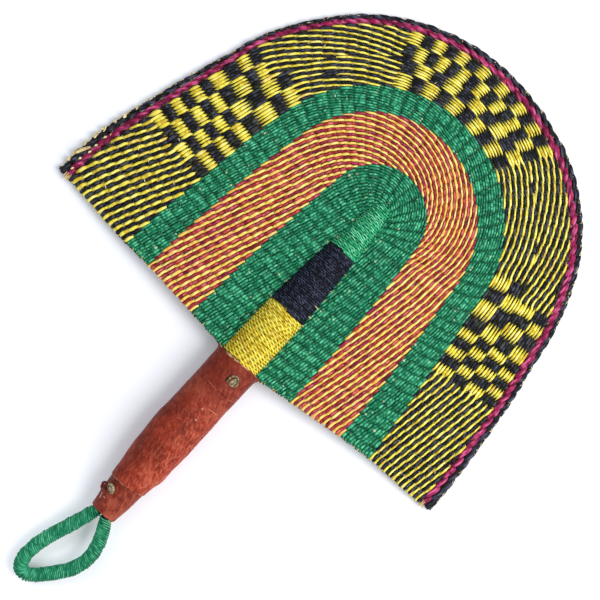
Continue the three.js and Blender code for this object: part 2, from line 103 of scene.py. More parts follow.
ROPE_RISE = 0.9
PATTERN_ROWS = 22
TOP_CHECKS = (0.32, 0.645)  # shares of the cap
CHECKS_ON_CAP = 3.5  # steps at either end of the cap
CHECKS_BELOW_CAP = (7, 6)  # stakes on the left side and on the right side
FIRST_STAKE = 0.3  # the first stake's place, as a share of a step from the blade's base edge
STAKE_HALF_WIDTH = 1.15
STAKE_HALF_THICKNESS = 0.75

# The picture, in metres: its middle, its width and its turn. The camera stands a little higher than that asks
VIEW_MIDDLE = Vector((0.0012, 0.1123, 0))
VIEW_WIDTH = 0.360
VIEW_TURN = math.radians(43.2)
CAMERA_LIFT = 0.006
# Lamps: place to the picture's right, up and above, size, power, colour, what it aims at, and spread in degrees
LAMPS = [
    ("key_light", (0.9, -0.28, 1.0), 0.95, 19.0, (1.0, 0.975, 0.94), (0, 0), 180),
    ("fill_light", (-0.2, 0.9, 1.3), 1.4, 3.7, (0.94, 0.97, 1.0), (0, 0), 180),
    ("loop_light", (-0.23, -0.09, 0.13), 0.06, 0.011, (1.0, 1.0, 1.0), (-0.155, -0.15), 55),
]
FLOOR_GLOW = 0.13


def mix(a, b, t):
    return a + (b - a) * t


def srgb(red, green, blue):
    """A colour as it is seen on a screen, 0 to 255, made linear."""
    parts = [value / 255 for value in (red, green, blue)]
    return tuple(v / 12.92 if v <= 0.04045 else ((v + 0.055) / 1.055) ** 2.4 for v in parts) + (1.0,)


def along(outline, place):
    places, values = zip(*outline)
    return np.interp(place, places, values)


def linked(name, data):
    """A new object in the scene, with this data."""
    thing = bpy.data.objects.new(name, data)
    bpy.context.scene.collection.objects.link(thing)
    return thing


def meshed(mesh, shape, material):
    """A new object, whose mesh takes a shape and a material."""
    shape.to_mesh(mesh)
    shape.free()
    mesh.materials.append(material)
    return linked(mesh.name, mesh)


def declared(piece, slot, *nodes, body="fan"):
    """Says which body a piece rides on and which CAD nodes it replaces. What it is made of, its slot, is not used.
    """
    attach(piece, body)
    if nodes:
        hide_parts(*nodes)


def wander(shape, turn, spread, knots, rate=1, middle=0.0):
    """A value that strays from its middle here and there along the turns."""
    return np.interp(turn * rate, np.arange(knots), middle + shape.normal(0, spread, knots))


# Camera, light and floor

def camera():
    """Looks straight down on the fan, which lies turned in the picture."""
    lens = bpy.data.cameras.new("camera")
    lens.lens = 85
    lens.sensor_width = 36
    eye = linked("camera", lens)
    eye.location = VIEW_MIDDLE + Vector((0, 0, VIEW_WIDTH * lens.lens / lens.sensor_width + CAMERA_LIFT))
    eye.rotation_euler = (0, 0, VIEW_TURN)
    bpy.context.scene.camera = eye


def lights():
    """Soft light from the picture's lower right, a little from its upper left, and a bright room."""
    right = Vector((math.cos(VIEW_TURN), math.sin(VIEW_TURN), 0))
    up = Vector((-math.sin(VIEW_TURN), math.cos(VIEW_TURN), 0))
    for name, (x, y, z), size, power, colour, (aim_x, aim_y), spread in LAMPS:
        light = bpy.data.lights.new(name, "AREA")
        light.size = size
        light.energy = power
        light.color = colour
        light.spread = math.radians(spread)
        lamp = linked(name, light)
        place = right * x + up * y + Vector((0, 0, z))
        lamp.location = VIEW_MIDDLE + place
        lamp.rotation_euler = (right * aim_x + up * aim_y - place).to_track_quat("-Z", "Y").to_euler()
        lamp.visible_camera = False

    world = bpy.data.worlds.new("studio")
    world.use_nodes = True
    background = world.node_tree.nodes["Background"]
    background.inputs["Color"].default_value = (0.92, 0.95, 1.0, 1)
    background.inputs["Strength"].default_value = 0.44
    bpy.context.scene.world = world
    bpy.context.scene.view_settings.view_transform = "Standard"


def floor():
    plane = bmesh.new()
    bmesh.ops.create_grid(plane, x_segments=1, y_segments=1, size=2.5)
    meshed(bpy.data.meshes.new("floor"), plane, floor_white())


def floor_white():
    """White paper. What the camera sees of it is a little brighter than it is lit, so that it is white."""
    material, sheet, inputs = new_material("floor_white", 0.0)
    rays = sheet.node("ShaderNodeLightPath").outputs
    direct, glossy, through = (
        Value(sheet, rays[label]) for label in ("Is Camera Ray", "Is Glossy Ray", "Is Transmission Ray"))
    sheet.feed(inputs["Base Color"], (0.885, 0.91, 0.975, 1))
    sheet.feed(inputs["Roughness"], 0.9)
    sheet.feed(inputs["Emission Color"], (1, 1, 1, 1))
    sheet.feed(inputs["Emission Strength"], (direct + (glossy + through)) * FLOOR_GLOW)
    return material


# Materials

def new_material(name, specular):
    """A material, the sheet of its nodes, and its shader's inputs."""
    material = bpy.data.materials.new(name)
    material.use_nodes = True
    inputs = material.node_tree.nodes["Principled BSDF"].inputs
    inputs["Specular IOR Level"].default_value = specular
    return material, Sheet(material.node_tree), inputs


def adds(operation):
    """A method of a value that adds a maths node."""
    return lambda value, other: value.sheet.math(operation, value, other)


class Value:
    """What a node puts out. Arithmetic with it adds maths nodes."""

    __add__, __sub__, __mul__, __truediv__, __pow__ = map(adds, ("ADD", "SUBTRACT", "MULTIPLY", "DIVIDE", "POWER"))

    def __init__(self, sheet, socket):
        self.sheet, self.socket = sheet, socket

    def __rsub__(self, other):
        return self.sheet.math("SUBTRACT", other, self)

    def times_plus(self, factor, term):
        return self.sheet.math("MULTIPLY_ADD", self, factor, term)

    def ramp(self, low, high, start=0.0, end=1.0):
        """Start at a low value and end at a high one, with a soft step between them."""
        inputs = {"Value": self, "From Min": low, "From Max": high, "To Min": start, "To Max": end}
        return self.sheet.value("ShaderNodeMapRange", 0, inputs, interpolation_type="SMOOTHSTEP")


class Sheet:
    """Adds nodes to a tree and links them."""

    def __init__(self, tree):
        self.tree = tree

    def node(self, kind, inputs=(), **settings):
        node = self.tree.nodes.new(kind)
        for key, value in settings.items():
            setattr(node, key, value)
        for key, value in dict(inputs).items():
            self.feed(node.inputs[key], value)
        return node

    def feed(self, socket, value):
        if isinstance(value, Value):
            self.tree.links.new(value.socket, socket)
        else:
            socket.default_value = value

    def value(self, kind, output=0, inputs=(), **settings):
        return Value(self, self.node(kind, inputs, **settings).outputs[output])

    def math(self, operation, *values):
        return self.value("ShaderNodeMath", 0, enumerate(values), operation=operation)

    def vector(self, x, y, z):
        return self.value("ShaderNodeCombineXYZ", 0, {"X": x, "Y": y, "Z": z})

    def parts(self, vector):
        node = self.node("ShaderNodeSeparateXYZ", {"Vector": vector})
        return [Value(self, socket) for socket in node.outputs]

    def attribute(self, name):
        return self.value("ShaderNodeAttribute", "Fac", attribute_name=name)

    def noise(self, vector, scale, detail=2.0, roughness=0.5):
        inputs = {"Vector": vector, "Scale": scale, "Detail": detail, "Roughness": roughness}
        return self.value("ShaderNodeTexNoise", "Fac", inputs)

    def blend(self, factor, a, b, mode="MIX"):
        return self.value("ShaderNodeMix", 2, {0: factor, 6: a, 7: b}, data_type="RGBA", blend_type=mode)

    def paint(self, colour, *layers):
        """A colour under layers of others, each a mask and its colour."""
        for mask, layer in layers:
            colour = self.blend(mask, colour, layer)
        return colour

    def bump(self, height, strength, distance):
        return self.value("ShaderNodeBump", 0, {"Height": height, "Strength": strength, "Distance": distance})


def new_group(name, colours, numbers, outputs):
    """A shader node group with its colour inputs, its number inputs with their defaults, and its outputs' kinds."""
    group = bpy.data.node_groups.new(name, "ShaderNodeTree")
    defaults = {**{label: (0, 0, 0, 1) for label in colours}, **numbers}
    for label, default in defaults.items():
        kind = "NodeSocketColor" if label in colours else "NodeSocketFloat"
        group.interface.new_socket(label, in_out="INPUT", socket_type=kind).default_value = default
    for label, kind in outputs.items():
        group.interface.new_socket(label, in_out="OUTPUT", socket_type=kind)
    sheet = Sheet(group)
    given = {socket.name: Value(sheet, socket) for socket in sheet.node("NodeGroupInput").outputs}
    return group, sheet, given, sheet.node("NodeGroupOutput").inputs


def grass_group():
    """Dyed grass: fibres along a strand, a tone that changes from stitch to stitch, painted highlights, and painted
    shade.
    """
    # Valley is how much of its colour a strand keeps where it lies low, against painted shade; Groove is how dark
    # the painted shade at its sides is; Bright is the colour of its painted highlights
    group, sheet, given, out = new_group("dyed_grass", ("Deep", "Colour", "Bright", "Second"), {
        "Second share": 0.0, "Twist": 150.0, "Valley": 0.35, "Relief": 0.5,
        "Flecks": 0.0, "Groove": 0.0, "Streaks": 1.0, "Uneven": 1.0,
    }, {"Color": "NodeSocketColor", "Roughness": "NodeSocketFloat", "Normal": "NodeSocketVector"})
    length, place, _ = sheet.parts(sheet.value("ShaderNodeUVMap", uv_map="strand"))
    number = sheet.math("FLOOR", place)
    own = number * 17.31  # moves each strand to a place of its own in the noise
    angle = sheet.math("FRACT", place) * math.tau + length * given["Twist"]
    fine = given["Streaks"] * 1.8
    across, upward = sheet.math("COSINE", angle) * fine, sheet.math("SINE", angle) * fine
    fibre = sheet.noise(sheet.vector(length.times_plus(100, own), across, upward), 1.0, 1.5, 0.6)
    tone = sheet.noise(sheet.vector(length.times_plus(130, own), own, 0.0), 1.0, 2.0, 0.6)
    patch = sheet.noise(sheet.vector(length.times_plus(70, own), own, 5.0), 1.0, 1.0)
    strand = sheet.value("ShaderNodeTexWhiteNoise", 0, {"W": number}, noise_dimensions="1D")
    lift, crest = sheet.attribute("lift"), sheet.attribute("crest")

    second = (patch - (0.72 - given["Second share"] * 0.45)).ramp(0.0, 0.06)
    second = second * sheet.math("GREATER_THAN", given["Second share"], 0.001)
    shade = (tone * 0.75 + strand * 0.25 - 0.5).times_plus(given["Uneven"], 0.5)
    streak = (fibre - 0.53).times_plus(given["Uneven"], 0.53)
    # Painted highlight: the Bright colour on the tops of the raised strands, broken along their fibres
    light = streak.ramp(0.46, 0.62) * shade.ramp(0.35, 0.62, 0.4, 1.0)
    light = light * crest.ramp(0.5, 0.95) * lift.ramp(0.3, 0.9, 0.3, 1.0)
    fleck = sheet.noise(sheet.vector(length.times_plus(420, own), across * 0.4, own), 1.0, 1.0).ramp(0.71, 0.77)
    colour = sheet.paint(
        given["Colour"], (second, given["Second"]), (shade.ramp(0.52, 0.32, 0.0, 0.75), given["Deep"]),
        (streak.ramp(0.49, 0.38, 0.0, 0.8), given["Deep"]), (light, given["Bright"]),
        (fleck * given["Flecks"], srgb(206, 214, 176)))
    # Painted shade: darker where a strand lies low, and at its sides where it meets its neighbours
    valley = lift.ramp(0.85, 0.15) * (1.0 - given["Valley"])
    gap = crest.ramp(0.75, 0.2) * given["Groove"]
    black = sheet.blend(1.0, colour, (0.13, 0.13, 0.13, 1), "MULTIPLY")
    sheet.feed(out["Color"], sheet.blend(sheet.math("MAXIMUM", valley, gap), colour, black))
    sheet.feed(out["Roughness"], fibre.ramp(0.3, 0.75, 0.72, 0.42))
    sheet.feed(out["Normal"], sheet.bump(fibre, given["Relief"], 0.0004))
    return group


def grass(name, deep, colour, bright, second=None, share=0.0, **settings):
    """Dyed grass: two shades, the colour of its painted highlights, and a share of a second colour. The settings are
    the group's other inputs.
    """
    material, sheet, inputs = new_material(name, 0.25)
    node = sheet.node("ShaderNodeGroup", {
        "Deep": srgb(*deep), "Colour": srgb(*colour), "Bright": srgb(*bright),
        "Second": srgb(*(second or colour)), "Second share": share,
        **{label.capitalize(): value for label, value in settings.items()},
    }, node_tree=GRASS)
    for source, target in (("Color", "Base Color"), ("Roughness", "Roughness"), ("Normal", "Normal")):
        sheet.feed(inputs[target], Value(sheet, node.outputs[source]))
    return material


# Strands

def section(name, sides, flatness):
    """The outline of a strand, one millimetre to its side."""
    curve = bpy.data.curves.new(name, "CURVE")
    spline = curve.splines.new("POLY")
    spline.points.add(sides - 1)
    for index, point in enumerate(spline.points):
        angle = math.tau * index / sides
        point.co = (math.cos(angle) * MM, math.sin(angle) * MM * flatness, 0, 1)
    spline.use_cyclic_u = True
    return linked(name, curve)


def read(items, key, size, kind=np.float32):
    """What a key holds in every item, in one array."""
    values = np.empty(len(items) * size, dtype=kind)
    items.foreach_get(key, values)
    return values


def tapered(points, width, taper=1.0, lift=1.0):
    """A run for strands, whose half width is the width times the taper at each point."""
    points = np.asarray(points, dtype=float)
    return points, width * np.asarray(taper) * np.ones(len(points)), np.full(len(points), lift)


def strands(name, runs, material, sides=8, flatness=1.0, twist_mode="Z_UP", first_number=0, outward=None):
    """One mesh of many strands. A run is its points, its half widths and its lift, 0 in a valley.

    Outward is which way each point of each run faces, or none where that is up and down."""
    outline = section(name + "_outline", sides, flatness)
    curve = bpy.data.curves.new(name, "CURVE")
    curve.dimensions = "3D"
    curve.twist_mode = twist_mode
    curve.bevel_mode = "OBJECT"
    curve.bevel_object = outline
    curve.use_fill_caps = True
    for points, widths, _ in runs:
        spline = curve.splines.new("POLY")
        spline.points.add(len(points) - 1)
        places = np.column_stack([points * MM, np.ones(len(points))])
        spline.points.foreach_set("co", places.astype(np.float32).ravel())
        spline.points.foreach_set("radius", widths.astype(np.float32))
        spline.use_smooth = True
    draft = linked(name + "_draft", curve)
    depsgraph = bpy.context.evaluated_depsgraph_get()
    mesh = bpy.data.meshes.new_from_object(draft.evaluated_get(depsgraph), depsgraph=depsgraph)
    mesh.name = name
    for leftover in (draft, outline):
        data = leftover.data
        bpy.data.objects.remove(leftover)
        bpy.data.curves.remove(data)

    # The caps' corners come first, the end's before the start's, and then the rings of every strand
    def spread(rows):
        return np.concatenate([np.repeat(row[[-1, 0]], sides, axis=0) for row in rows]
                              + [np.repeat(row, sides, axis=0) for row in rows])

    length = spread([lengths_along(points) * MM for points, _, _ in runs])
    number = spread([np.full(len(points), index + first_number) for index, (points, _, _) in enumerate(runs)])
    lift = spread([lift for _, _, lift in runs])
    centre = spread([points for points, _, _ in runs]) * MM
    thick = spread([widths for _, widths, _ in runs]) * MM * flatness
    corners = read(mesh.vertices, "co", 3).reshape(-1, 3)
    facing = (0, 0, 1) if outward is None else spread(outward)
    crest = np.abs(((corners - centre) * facing).sum(axis=1)) / thick
    layer = mesh.uv_layers[0]
    layer.name = "strand"
    corner = read(mesh.loops, "vertex_index", 1, np.int32)
    around = read(layer.data, "uv", 2)[0::2] * 0.998  # less than 1, so that it stays apart from the strand's number
    places = np.column_stack([length[corner], number[corner] + around])
    layer.data.foreach_set("uv", places.astype(np.float32).ravel())
    # Lift and crest place the painted shade and painted highlights: a low lift or a strand's side is painted darker,
    # its top lighter
    for label, values in (("lift", lift), ("crest", np.clip(crest, 0, 1))):
        attribute = mesh.attributes.new(label, "FLOAT", "POINT")
        attribute.data.foreach_set("value", values.astype(np.float32))

    body = bmesh.new()
    body.from_mesh(mesh)
    bmesh.ops.remove_doubles(body, verts=body.verts, dist=2e-6)
    return meshed(mesh, body, material)


def laid(name, runs, material, slot, *nodes, body="fan", **shape):
    """Strands as a piece that is declared."""
    declared(strands(name, runs, material, **shape), slot, *nodes, body=body)


def unit(ways):
    """The same directions, each of length 1."""
    return ways / np.linalg.norm(ways, axis=1)[:, None]


def lengths_along(points):
    """How far along the way through them the points lie."""
    return np.concatenate([[0], np.cumsum(np.linalg.norm(np.diff(points, axis=0), axis=1))])


def part_way(places, lengths, points):
    """What the points are at other places along their way."""
    return np.column_stack([np.interp(places, lengths, points[:, axis]) for axis in range(3)])


def between(t, start, end, a, b):
    """From a at the start to b at the end, in proportion."""
    return (end - t) / (end - start) * a + (t - start) / (end - start) * b


def extended(values):
    """The values with one more at either end."""
    return np.concatenate([[2 * values[0] - values[1]], values, [2 * values[-1] - values[-2]]])


def smooth_route(knots, step):
    """Evenly spaced places on a smooth curve through the knots."""
    knots = extended(np.array(knots, dtype=float))
    points = []
    for before, a, b, after in zip(knots, knots[1:], knots[2:], knots[3:]):
        t0, t1 = 0.0, np.linalg.norm(a - before) ** 0.5
        t2 = t1 + np.linalg.norm(b - a) ** 0.5
        t3 = t2 + np.linalg.norm(after - b) ** 0.5
        for t in np.linspace(t1, t2, 24, endpoint=False):
            middle = between(t, t1, t2, a, b)
            left = between(t, t0, t2, between(t, t0, t1, before, a), middle)
            right = between(t, t1, t3, middle, between(t, t2, t3, b, after))
            points.append(between(t, t1, t2, left, right))
    points = np.array(points + [knots[-2]])
    lengths = lengths_along(points)
    return part_way(np.arange(0, lengths[-1], step), lengths, points)


# Blade

class WeftLine:
    """A line of weft, measured along its length from its left end at the blade's base.

    Its place between the spine, 0, and the rim, 6, is a whole number at the edges of the bands."""

    def __init__(self, place):
        index = min(int(place), len(EDGES) - 2)
        edge = mix(np.array(EDGES[index]), np.array(EDGES[index + 1]), place - index)
        left, right, self.centre, (self.radius, *swell) = np.split(edge, [2, 4, 6])
        self.left, self.right = self.leg(left, -1, swell[0]), self.leg(right, 1, swell[1])
        self.cap_start = self.left.length
        self.cap_end = self.cap_start + self.radius * (math.pi - self.left.lean - self.right.lean)
        self.length = self.cap_end + self.right.length
        half_width = (right[0] - left[0]) / 2
        first, last = BLADE_HALF_WIDTHS
        self.out = (half_width - first) / (last - first)
        self.z = mix(HANDLE_Z, RIM_Z, max(self.out, 0) ** DISH)
        self.span = mix(SIDE_SPAN[0], SIDE_SPAN[1], self.out)

    def leg(self, base, side, swell):
        dx, dy = abs(self.centre[0] - base[0]), self.centre[1] - base[1]
        lean = math.atan2(dx, dy) - math.asin(self.radius / math.hypot(dx, dy))
        normal = np.array([side * math.cos(lean), math.sin(lean)])
        top = self.centre + self.radius * normal
        run = top - base
        return SimpleNamespace(base=base, lean=lean, normal=normal, run=run, length=np.hypot(*run), swell=swell)

    def outward(self, s):
        """The direction out of the line at places along it."""
        angle = math.pi - self.left.lean - (np.asarray(s, dtype=float) - self.cap_start) / self.radius
        angle = np.clip(angle, self.right.lean, math.pi - self.left.lean)
        return np.column_stack([np.cos(angle), np.sin(angle)])

    def at(self, s, offset=0.0):
        """Places along the line, moved out of it by an offset."""
        s = np.asarray(s, dtype=float)
        out = self.outward(s)
        points = self.centre + self.radius * out
        for leg, here, t in (
            (self.left, s < self.cap_start, s / self.left.length),
            (self.right, s > self.cap_end, (self.length - s) / self.right.length),
        ):
            swell = (4 * t * (1 - t) * leg.swell)[:, None]
            straight = leg.base + t[:, None] * leg.run + swell * leg.normal
            points = np.where(here[:, None], straight, points)
        bulge = sum(along(BULGES, s / self.length + shift) for shift in (-0.012, 0, 0.012)) / 3
        return points + out * (bulge * max(self.out, 0) ** 3 + np.broadcast_to(offset, s.shape))[:, None]

    def raised(self, s, offset, rise):
        """Places along the line, moved out of it and raised."""
        return np.column_stack([self.at(s, offset), np.broadcast_to(self.z + rise, len(s))])

    def on_side(self, index, side):
        """The place of a side's stake, counted from the blade's base. Side is -1 on the left and 1 on the right."""
        share = (index + FIRST_STAKE) / SIDE_STAKES * self.span
        if side < 0:
            return share * self.cap_start
        return self.gathered(self.length - share * self.right.length)

    def on_cap(self, share):
        """A place between the uppermost stakes of the two sides."""
        first, last = self.span * self.left.length, self.length - self.span * self.right.length
        return self.gathered(mix(first, last, share))

    def stakes(self, cap_steps):
        """The stakes' places along the line: the left side's, those round the cap, and the right side's."""
        sides = np.arange(SIDE_STAKES)
        cap = self.on_cap(np.arange(1, cap_steps) / cap_steps)
        return np.concatenate([self.on_side(sides, -1), cap, self.on_side(sides, 1)[::-1]])

    def gathered(self, s):
        """On the right the stakes' outer ends stand a little further round, towards the blade's tip."""
        share = np.interp((self.length - s) / self.right.length, [0, 0.5, 1.15, 1.9], [0, 1, 1, 0])
        return s - RIGHT_GATHER * max(self.out - 0.55, 0) * share


def row_pitch(lower, upper, line, s):
    """How far apart two lines are, at places along the line between them."""
    out = line.outward(s)
    cap = upper.radius - lower.radius + out @ (upper.centre - lower.centre)
    left, right = out @ (upper.left.base - lower.left.base), out @ (upper.right.base - lower.right.base)
    near_left = np.clip(1 - s / line.left.length, 0, 1)
    near_right = np.clip(1 - (line.length - s) / line.right.length, 0, 1)
    return cap * (1 - near_left - near_right) + left * near_left + right * near_right


def woven_rows(first, last, cap_steps, front_of, seed, girths=((1.0, 1.0), (1.0, 1.0))):
    """The two strands of every row between two lines. Girths is how thick each is, on the left and elsewhere.

    Cap_steps has the stakes' steps round the cap for each row. Front_of says whether the first strand is in
    front of a stake, and how it is stitched there."""
    jitter = np.random.default_rng(seed)
    pair = ([], [])
    rows = len(cap_steps)
    for row in range(rows):
        lines = [WeftLine(mix(first, last, (row + part) / rows)) for part in (0, 0.5, 1)]
        stakes = lines[1].stakes(cap_steps[row])
        count = len(stakes)
        stakes = stakes + jitter.normal(0, 0.22, count)
        front, stitches = zip(*[front_of(index, row, count) for index in range(count)])
        bounds = np.concatenate([[-0.2], (stakes[1:] + stakes[:-1]) / 2, [lines[1].length + 0.2]])
        for strand, sign in ((0, 1), (1, -1)):
            side = np.where(front, sign, -sign)
            pair[strand].append(row_strand(lines, stakes, bounds, side, stitches, jitter, girths[strand]))
    return pair


SHARES = (-0.5, -0.3, -0.1, 0.1, 0.3)  # places along a stitch, from crossing to crossing
# A stitch: its shift across the row, its half width in the middle and at a crossing, and how high it crosses
STRIPE_STITCH = (0.96, 0.49, 0.32, 0.45)
CLOSE_STITCH = (0.88, 0.53, 0.4, 0.45)
RED_BAND_STITCH = (0.96, 0.48, 0.38, 0.45)
CHECK_STITCH = (0.46, 0.56, 0.27, 0.25)
STITCH_RISE = 0.31  # how far a strand stands off the stakes, as a share of its row's width


def row_strand(lines, stakes, bounds, side, stitches, jitter, girth):
    """One strand of a row. Side is 1 where it passes in front of a stake, and -1 where it passes behind.

    A stitch lies across its row, from the outer side to the inner one, so it leads to the next row's.
    """
    lower, line, upper = lines
    count = len(stakes)
    places = []
    wide = np.where(np.arange(count) < SIDE_STAKES, girth[0], girth[1]) * (1 + jitter.normal(0, 0.12, count))
    drift = jitter.normal(0, 0.05, count)
    for i in range(count):
        before, after = side[max(i - 1, 0)], side[min(i + 1, count - 1)]
        slant, middle, waist, crossing = stitches[i]
        for share in SHARES:
            held = (before if share < 0 else after) == side[i]
            edge = abs(share) * 2
            start, end = bounds[i], bounds[i + 1]
            arc = mix(1, 0.85, edge ** 2) if held else max(math.cos(edge * math.pi / 2), 0) ** 0.6
            lean = share - 0.07 * math.sin(math.tau * share)
            places.append((
                mix(start, stakes[i], share * 2 + 1) if share < 0 else mix(stakes[i], end, share * 2),
                side[i] * arc + crossing * edge ** 3 * (not held),
                drift[i] - side[i] * slant * lean * (0.3 if held else 1),
                mix(middle, 0.46 if held else waist, edge ** 1.7) * wide[i]))
    places.append((bounds[-1] + jitter.uniform(0.1, 1.1), 0.3 * side[-1], drift[-1], 0.4))
    s, height, shift, width = np.array(places).T
    s[0] -= jitter.uniform(0.1, 1.1)
    height[0] = 0.3 * side[0]
    width[0] = 0.4
    pitch = row_pitch(lower, upper, line, s)
    points = line.raised(s, shift * pitch, height * (STAKE_HALF_THICKNESS + STITCH_RISE * pitch))
    # The lift is how far a strand stands off the stakes, so it is painted darker as shade where it crosses between
    # them
    return points, width * pitch, np.abs(height)


def plain(stitch):
    """A weave whose strands change places at every stake."""
    def front_of(index, row, _):
        return (index + row) % 2 == 0, stitch
    return front_of


def patterned(index, row, count):
    """Checks of one stake by a quarter of the rows in a part of each side and at the top, and stripes between."""
    cap_steps = count - 2 * SIDE_STAKES + 1
    step = index - SIDE_STAKES + 1
    on_right = index >= count / 2
    below_cap = index - (count - SIDE_STAKES) if on_right else SIDE_STAKES - 1 - index
    at_top = TOP_CHECKS[0] < step / cap_steps < TOP_CHECKS[1]
    at_side = step < CHECKS_ON_CAP or step > cap_steps - CHECKS_ON_CAP
    if (at_top or at_side) and below_cap < CHECKS_BELOW_CAP[on_right]:
        return (index + row * 4 // PATTERN_ROWS) % 2 == 0, CHECK_STITCH
    slip = below_cap < 0 and SLIPS[row, index] > 0.987
    return ((index + row) % 2 == 0) != slip, STRIPE_STITCH


def doubled(run):
    """A strand as two plies that lie side by side."""
    points, widths, lift = run
    ahead = unit(np.gradient(points[:, :2], axis=0))
    across = np.column_stack([-ahead[:, 1], ahead[:, 0], np.zeros(len(points))])
    gap = (widths * 0.38)[:, None]
    return [(points + across * gap, widths * 0.66, lift), (points - across * gap, widths * 0.66, lift)]


def rope_row(first, last, seed, uneven):
    """One thick row between two lines: two doubled strands, twined round each other and the stakes."""
    jitter = np.random.default_rng(seed)
    lower, line, upper = WeftLine(first), WeftLine((first + last) / 2), WeftLine(last)
    stakes = line.stakes(ROPE_STEPS)
    count = len(stakes)
    turn = np.linspace(-0.28, count - 0.72, count * 7)
    knots = np.arange(-1, count + 1)
    s = np.interp(turn, knots, extended(stakes))
    pitch = row_pitch(lower, upper, line, s)
    runs = []
    for phase in (0, 1):
        swell = np.interp(turn * 2, np.arange(-2, 2 * count + 2), 1 + jitter.normal(0, uneven, 2 * count + 4))
        drift = np.interp(turn, knots, jitter.normal(0, uneven * 0.35, count + 2))
        angle = math.pi * (turn + phase)
        points = line.raised(s, (drift - 0.22 * np.sin(angle)) * pitch, ROPE_RISE * np.cos(angle))
        wide = (0.34 * pitch + 0.2) * mix(0.9, 1, np.abs(np.cos(angle))) * swell
        # The lift is lower where a strand turns between the rope's two sides, so it is painted darker there as shade
        runs += doubled((points, wide, 0.45 + 0.55 * np.abs(np.cos(angle))))
    return runs


def stake_runs():
    """Straw stakes from the spine to the rim. Round the cap they double at the red band and fork in the pattern."""
    shape = np.random.default_rng(21)
    places = [0.03, 0.25, 0.5, 0.75, 1, 1.25, 1.5, 1.75, 2, 2.5, 3, 3.25, 3.5, 3.75, 4, 4.5, 5, 5.5, 5.85]
    lines = {place: WeftLine(place) for place in places}

    def run(start, place_of, stub):
        chosen = [place for place in places if place >= start]
        points = np.vstack([lines[place].raised([place_of(lines[place], place)], 0, 0) for place in chosen])
        out = points[-1] - points[-2]
        points = np.vstack([points, points[-1] + out / np.linalg.norm(out) * stub])
        wide = STAKE_HALF_WIDTH * np.interp(chosen + [6], [0, 4, 4.5, 6], [1, 1, 0.5, 0.45])
        # Inside the weave the stakes get a low lift, so they are painted darker as shade; their outer ends don't
        return points, wide, np.where(np.array(chosen + [6]) > 5.6, 1.0, 0.3)

    runs = []
    for index in range(SIDE_STAKES):
        corner = 0.7 if index < 4 else 0.0
        runs.append(run(0.0, lambda line, _: line.on_side(index, -1), shape.uniform(0.2, 1.0) + corner))
        runs.append(run(0.0, lambda line, _: line.on_side(index, 1), shape.uniform(0.1, 0.9)))
    for index in range(1, CAP_STEPS):
        start = 0.0 if index % 2 == 0 else 1.0
        inner, odd = index / CAP_STEPS, index % 2 == 1
        for side in ((-1, 1) if odd else (0,)):
            outer = (1.5 * index + side * 0.5) / OUTER_CAP_STEPS

            def bent(line, place):
                return line.on_cap(mix(inner, outer, min(max((place - FORK) * 4, 0), 1)))

            runs.append(run(start if side <= 0 else FORK, bent, shape.uniform(0.1, 0.9)))
    return runs


def straw_tips():
    """Cut straw ends that show beside the spine, and along the blade's base edge."""
    shape = np.random.default_rng(22)
    runs = []
    line = WeftLine(0.03)
    for side in (-1, 1):
        for index in range(1, SIDE_STAKES):
            if shape.random() < 0.45:
                continue
            x, y = line.at([line.on_side(index, side)])[0]
            radius = spine_half_width(y) + 0.25
            rise = math.radians(shape.uniform(10, 24) if shape.random() < 0.75 else shape.uniform(26, 40))
            slope = shape.uniform(-1, 1)
            points = []
            for angle, out in ((rise, 0.1), (rise * 0.66, 0.3), (rise * 0.33, 0.5), (0, 0.6)):
                points.append([side * (radius + out) * math.cos(angle), y + slope * angle,
                               HANDLE_Z + 0.4 + radius * FLATNESS * math.sin(angle)])
            points.append([x + side * 1.5, y, HANDLE_Z + 0.2])
            runs.append(tapered(points, shape.uniform(0.26, 0.6)))
    for place in np.linspace(0.15, 4.9, 80):
        line = WeftLine(place)
        for end in (0.0, line.length):
            if shape.random() < 0.4:
                continue
            inward = 1 if end == 0 else -1
            lean = shape.uniform(-0.9, 0.9)
            tip = shape.uniform(0.8, 2.2)
            s = end + inward * np.array([2.4, 0.6, -0.5 * tip, -tip])
            rise = shape.uniform(-0.3, 1.6) * np.array([1, 1, 0.7, 0.4])
            points = line.raised(s, np.array([0, 0.2, 0.6, 1.0]) * lean, rise)
            runs.append(tapered(points, shape.uniform(0.26, 0.46), (0.8, 1, 1, 0.7)))
    return runs


# Straw that shows at the rim's left corner: tufts as x, y and size, and pale dots between the rim's two rows
TUFTS = [
    (-158.3, 84.8, 3.2), (-158.4, 79.0, 2.4), (-156.4, 100.7, 3.0), (-155.4, 107.4, 3.0),
    (-153.1, 114.5, 1.6), (-151.6, 121.7, 2.4), (-149.8, 129.0, 1.4), (-157.6, 92.6, 1.8),
]
PALE_DOTS = [(-152.8, 76.4), (-153.5, 84.0), (-151.9, 90.8), (-151.8, 96.2), (-151.2, 103.6)]
# Slivers of straw that stick out of the pattern: edge, share of its length, and millimetres along and across it
SLIVERS = [
    (3.64, 0.023, 0.9, 1.7), (3.74, 0.076, 0.3, 1.9), (3.56, 0.079, 0.9, 1.6), (3.6, 0.095, 0.8, 1.5),
    (3.4, 0.063, 0.6, 1.5), (3.28, 0.062, 0.7, 1.3), (3.16, 0.091, 0.5, 1.4), (3.54, 0.121, 0.7, 1.6),
    (4.66, 0.061, 1.6, 0.6), (3.76, 0.966, -1.5, 0.6), (3.88, 0.966, 1.5, 0.8), (3.3, 0.45, 0.8, 1.2),
    (3.7, 0.31, 1.2, 0.9), (3.45, 0.72, -0.9, 1.4), (3.6, 0.87, 0.9, -1.5), (2.6, 0.16, 1.2, 0.8),
]


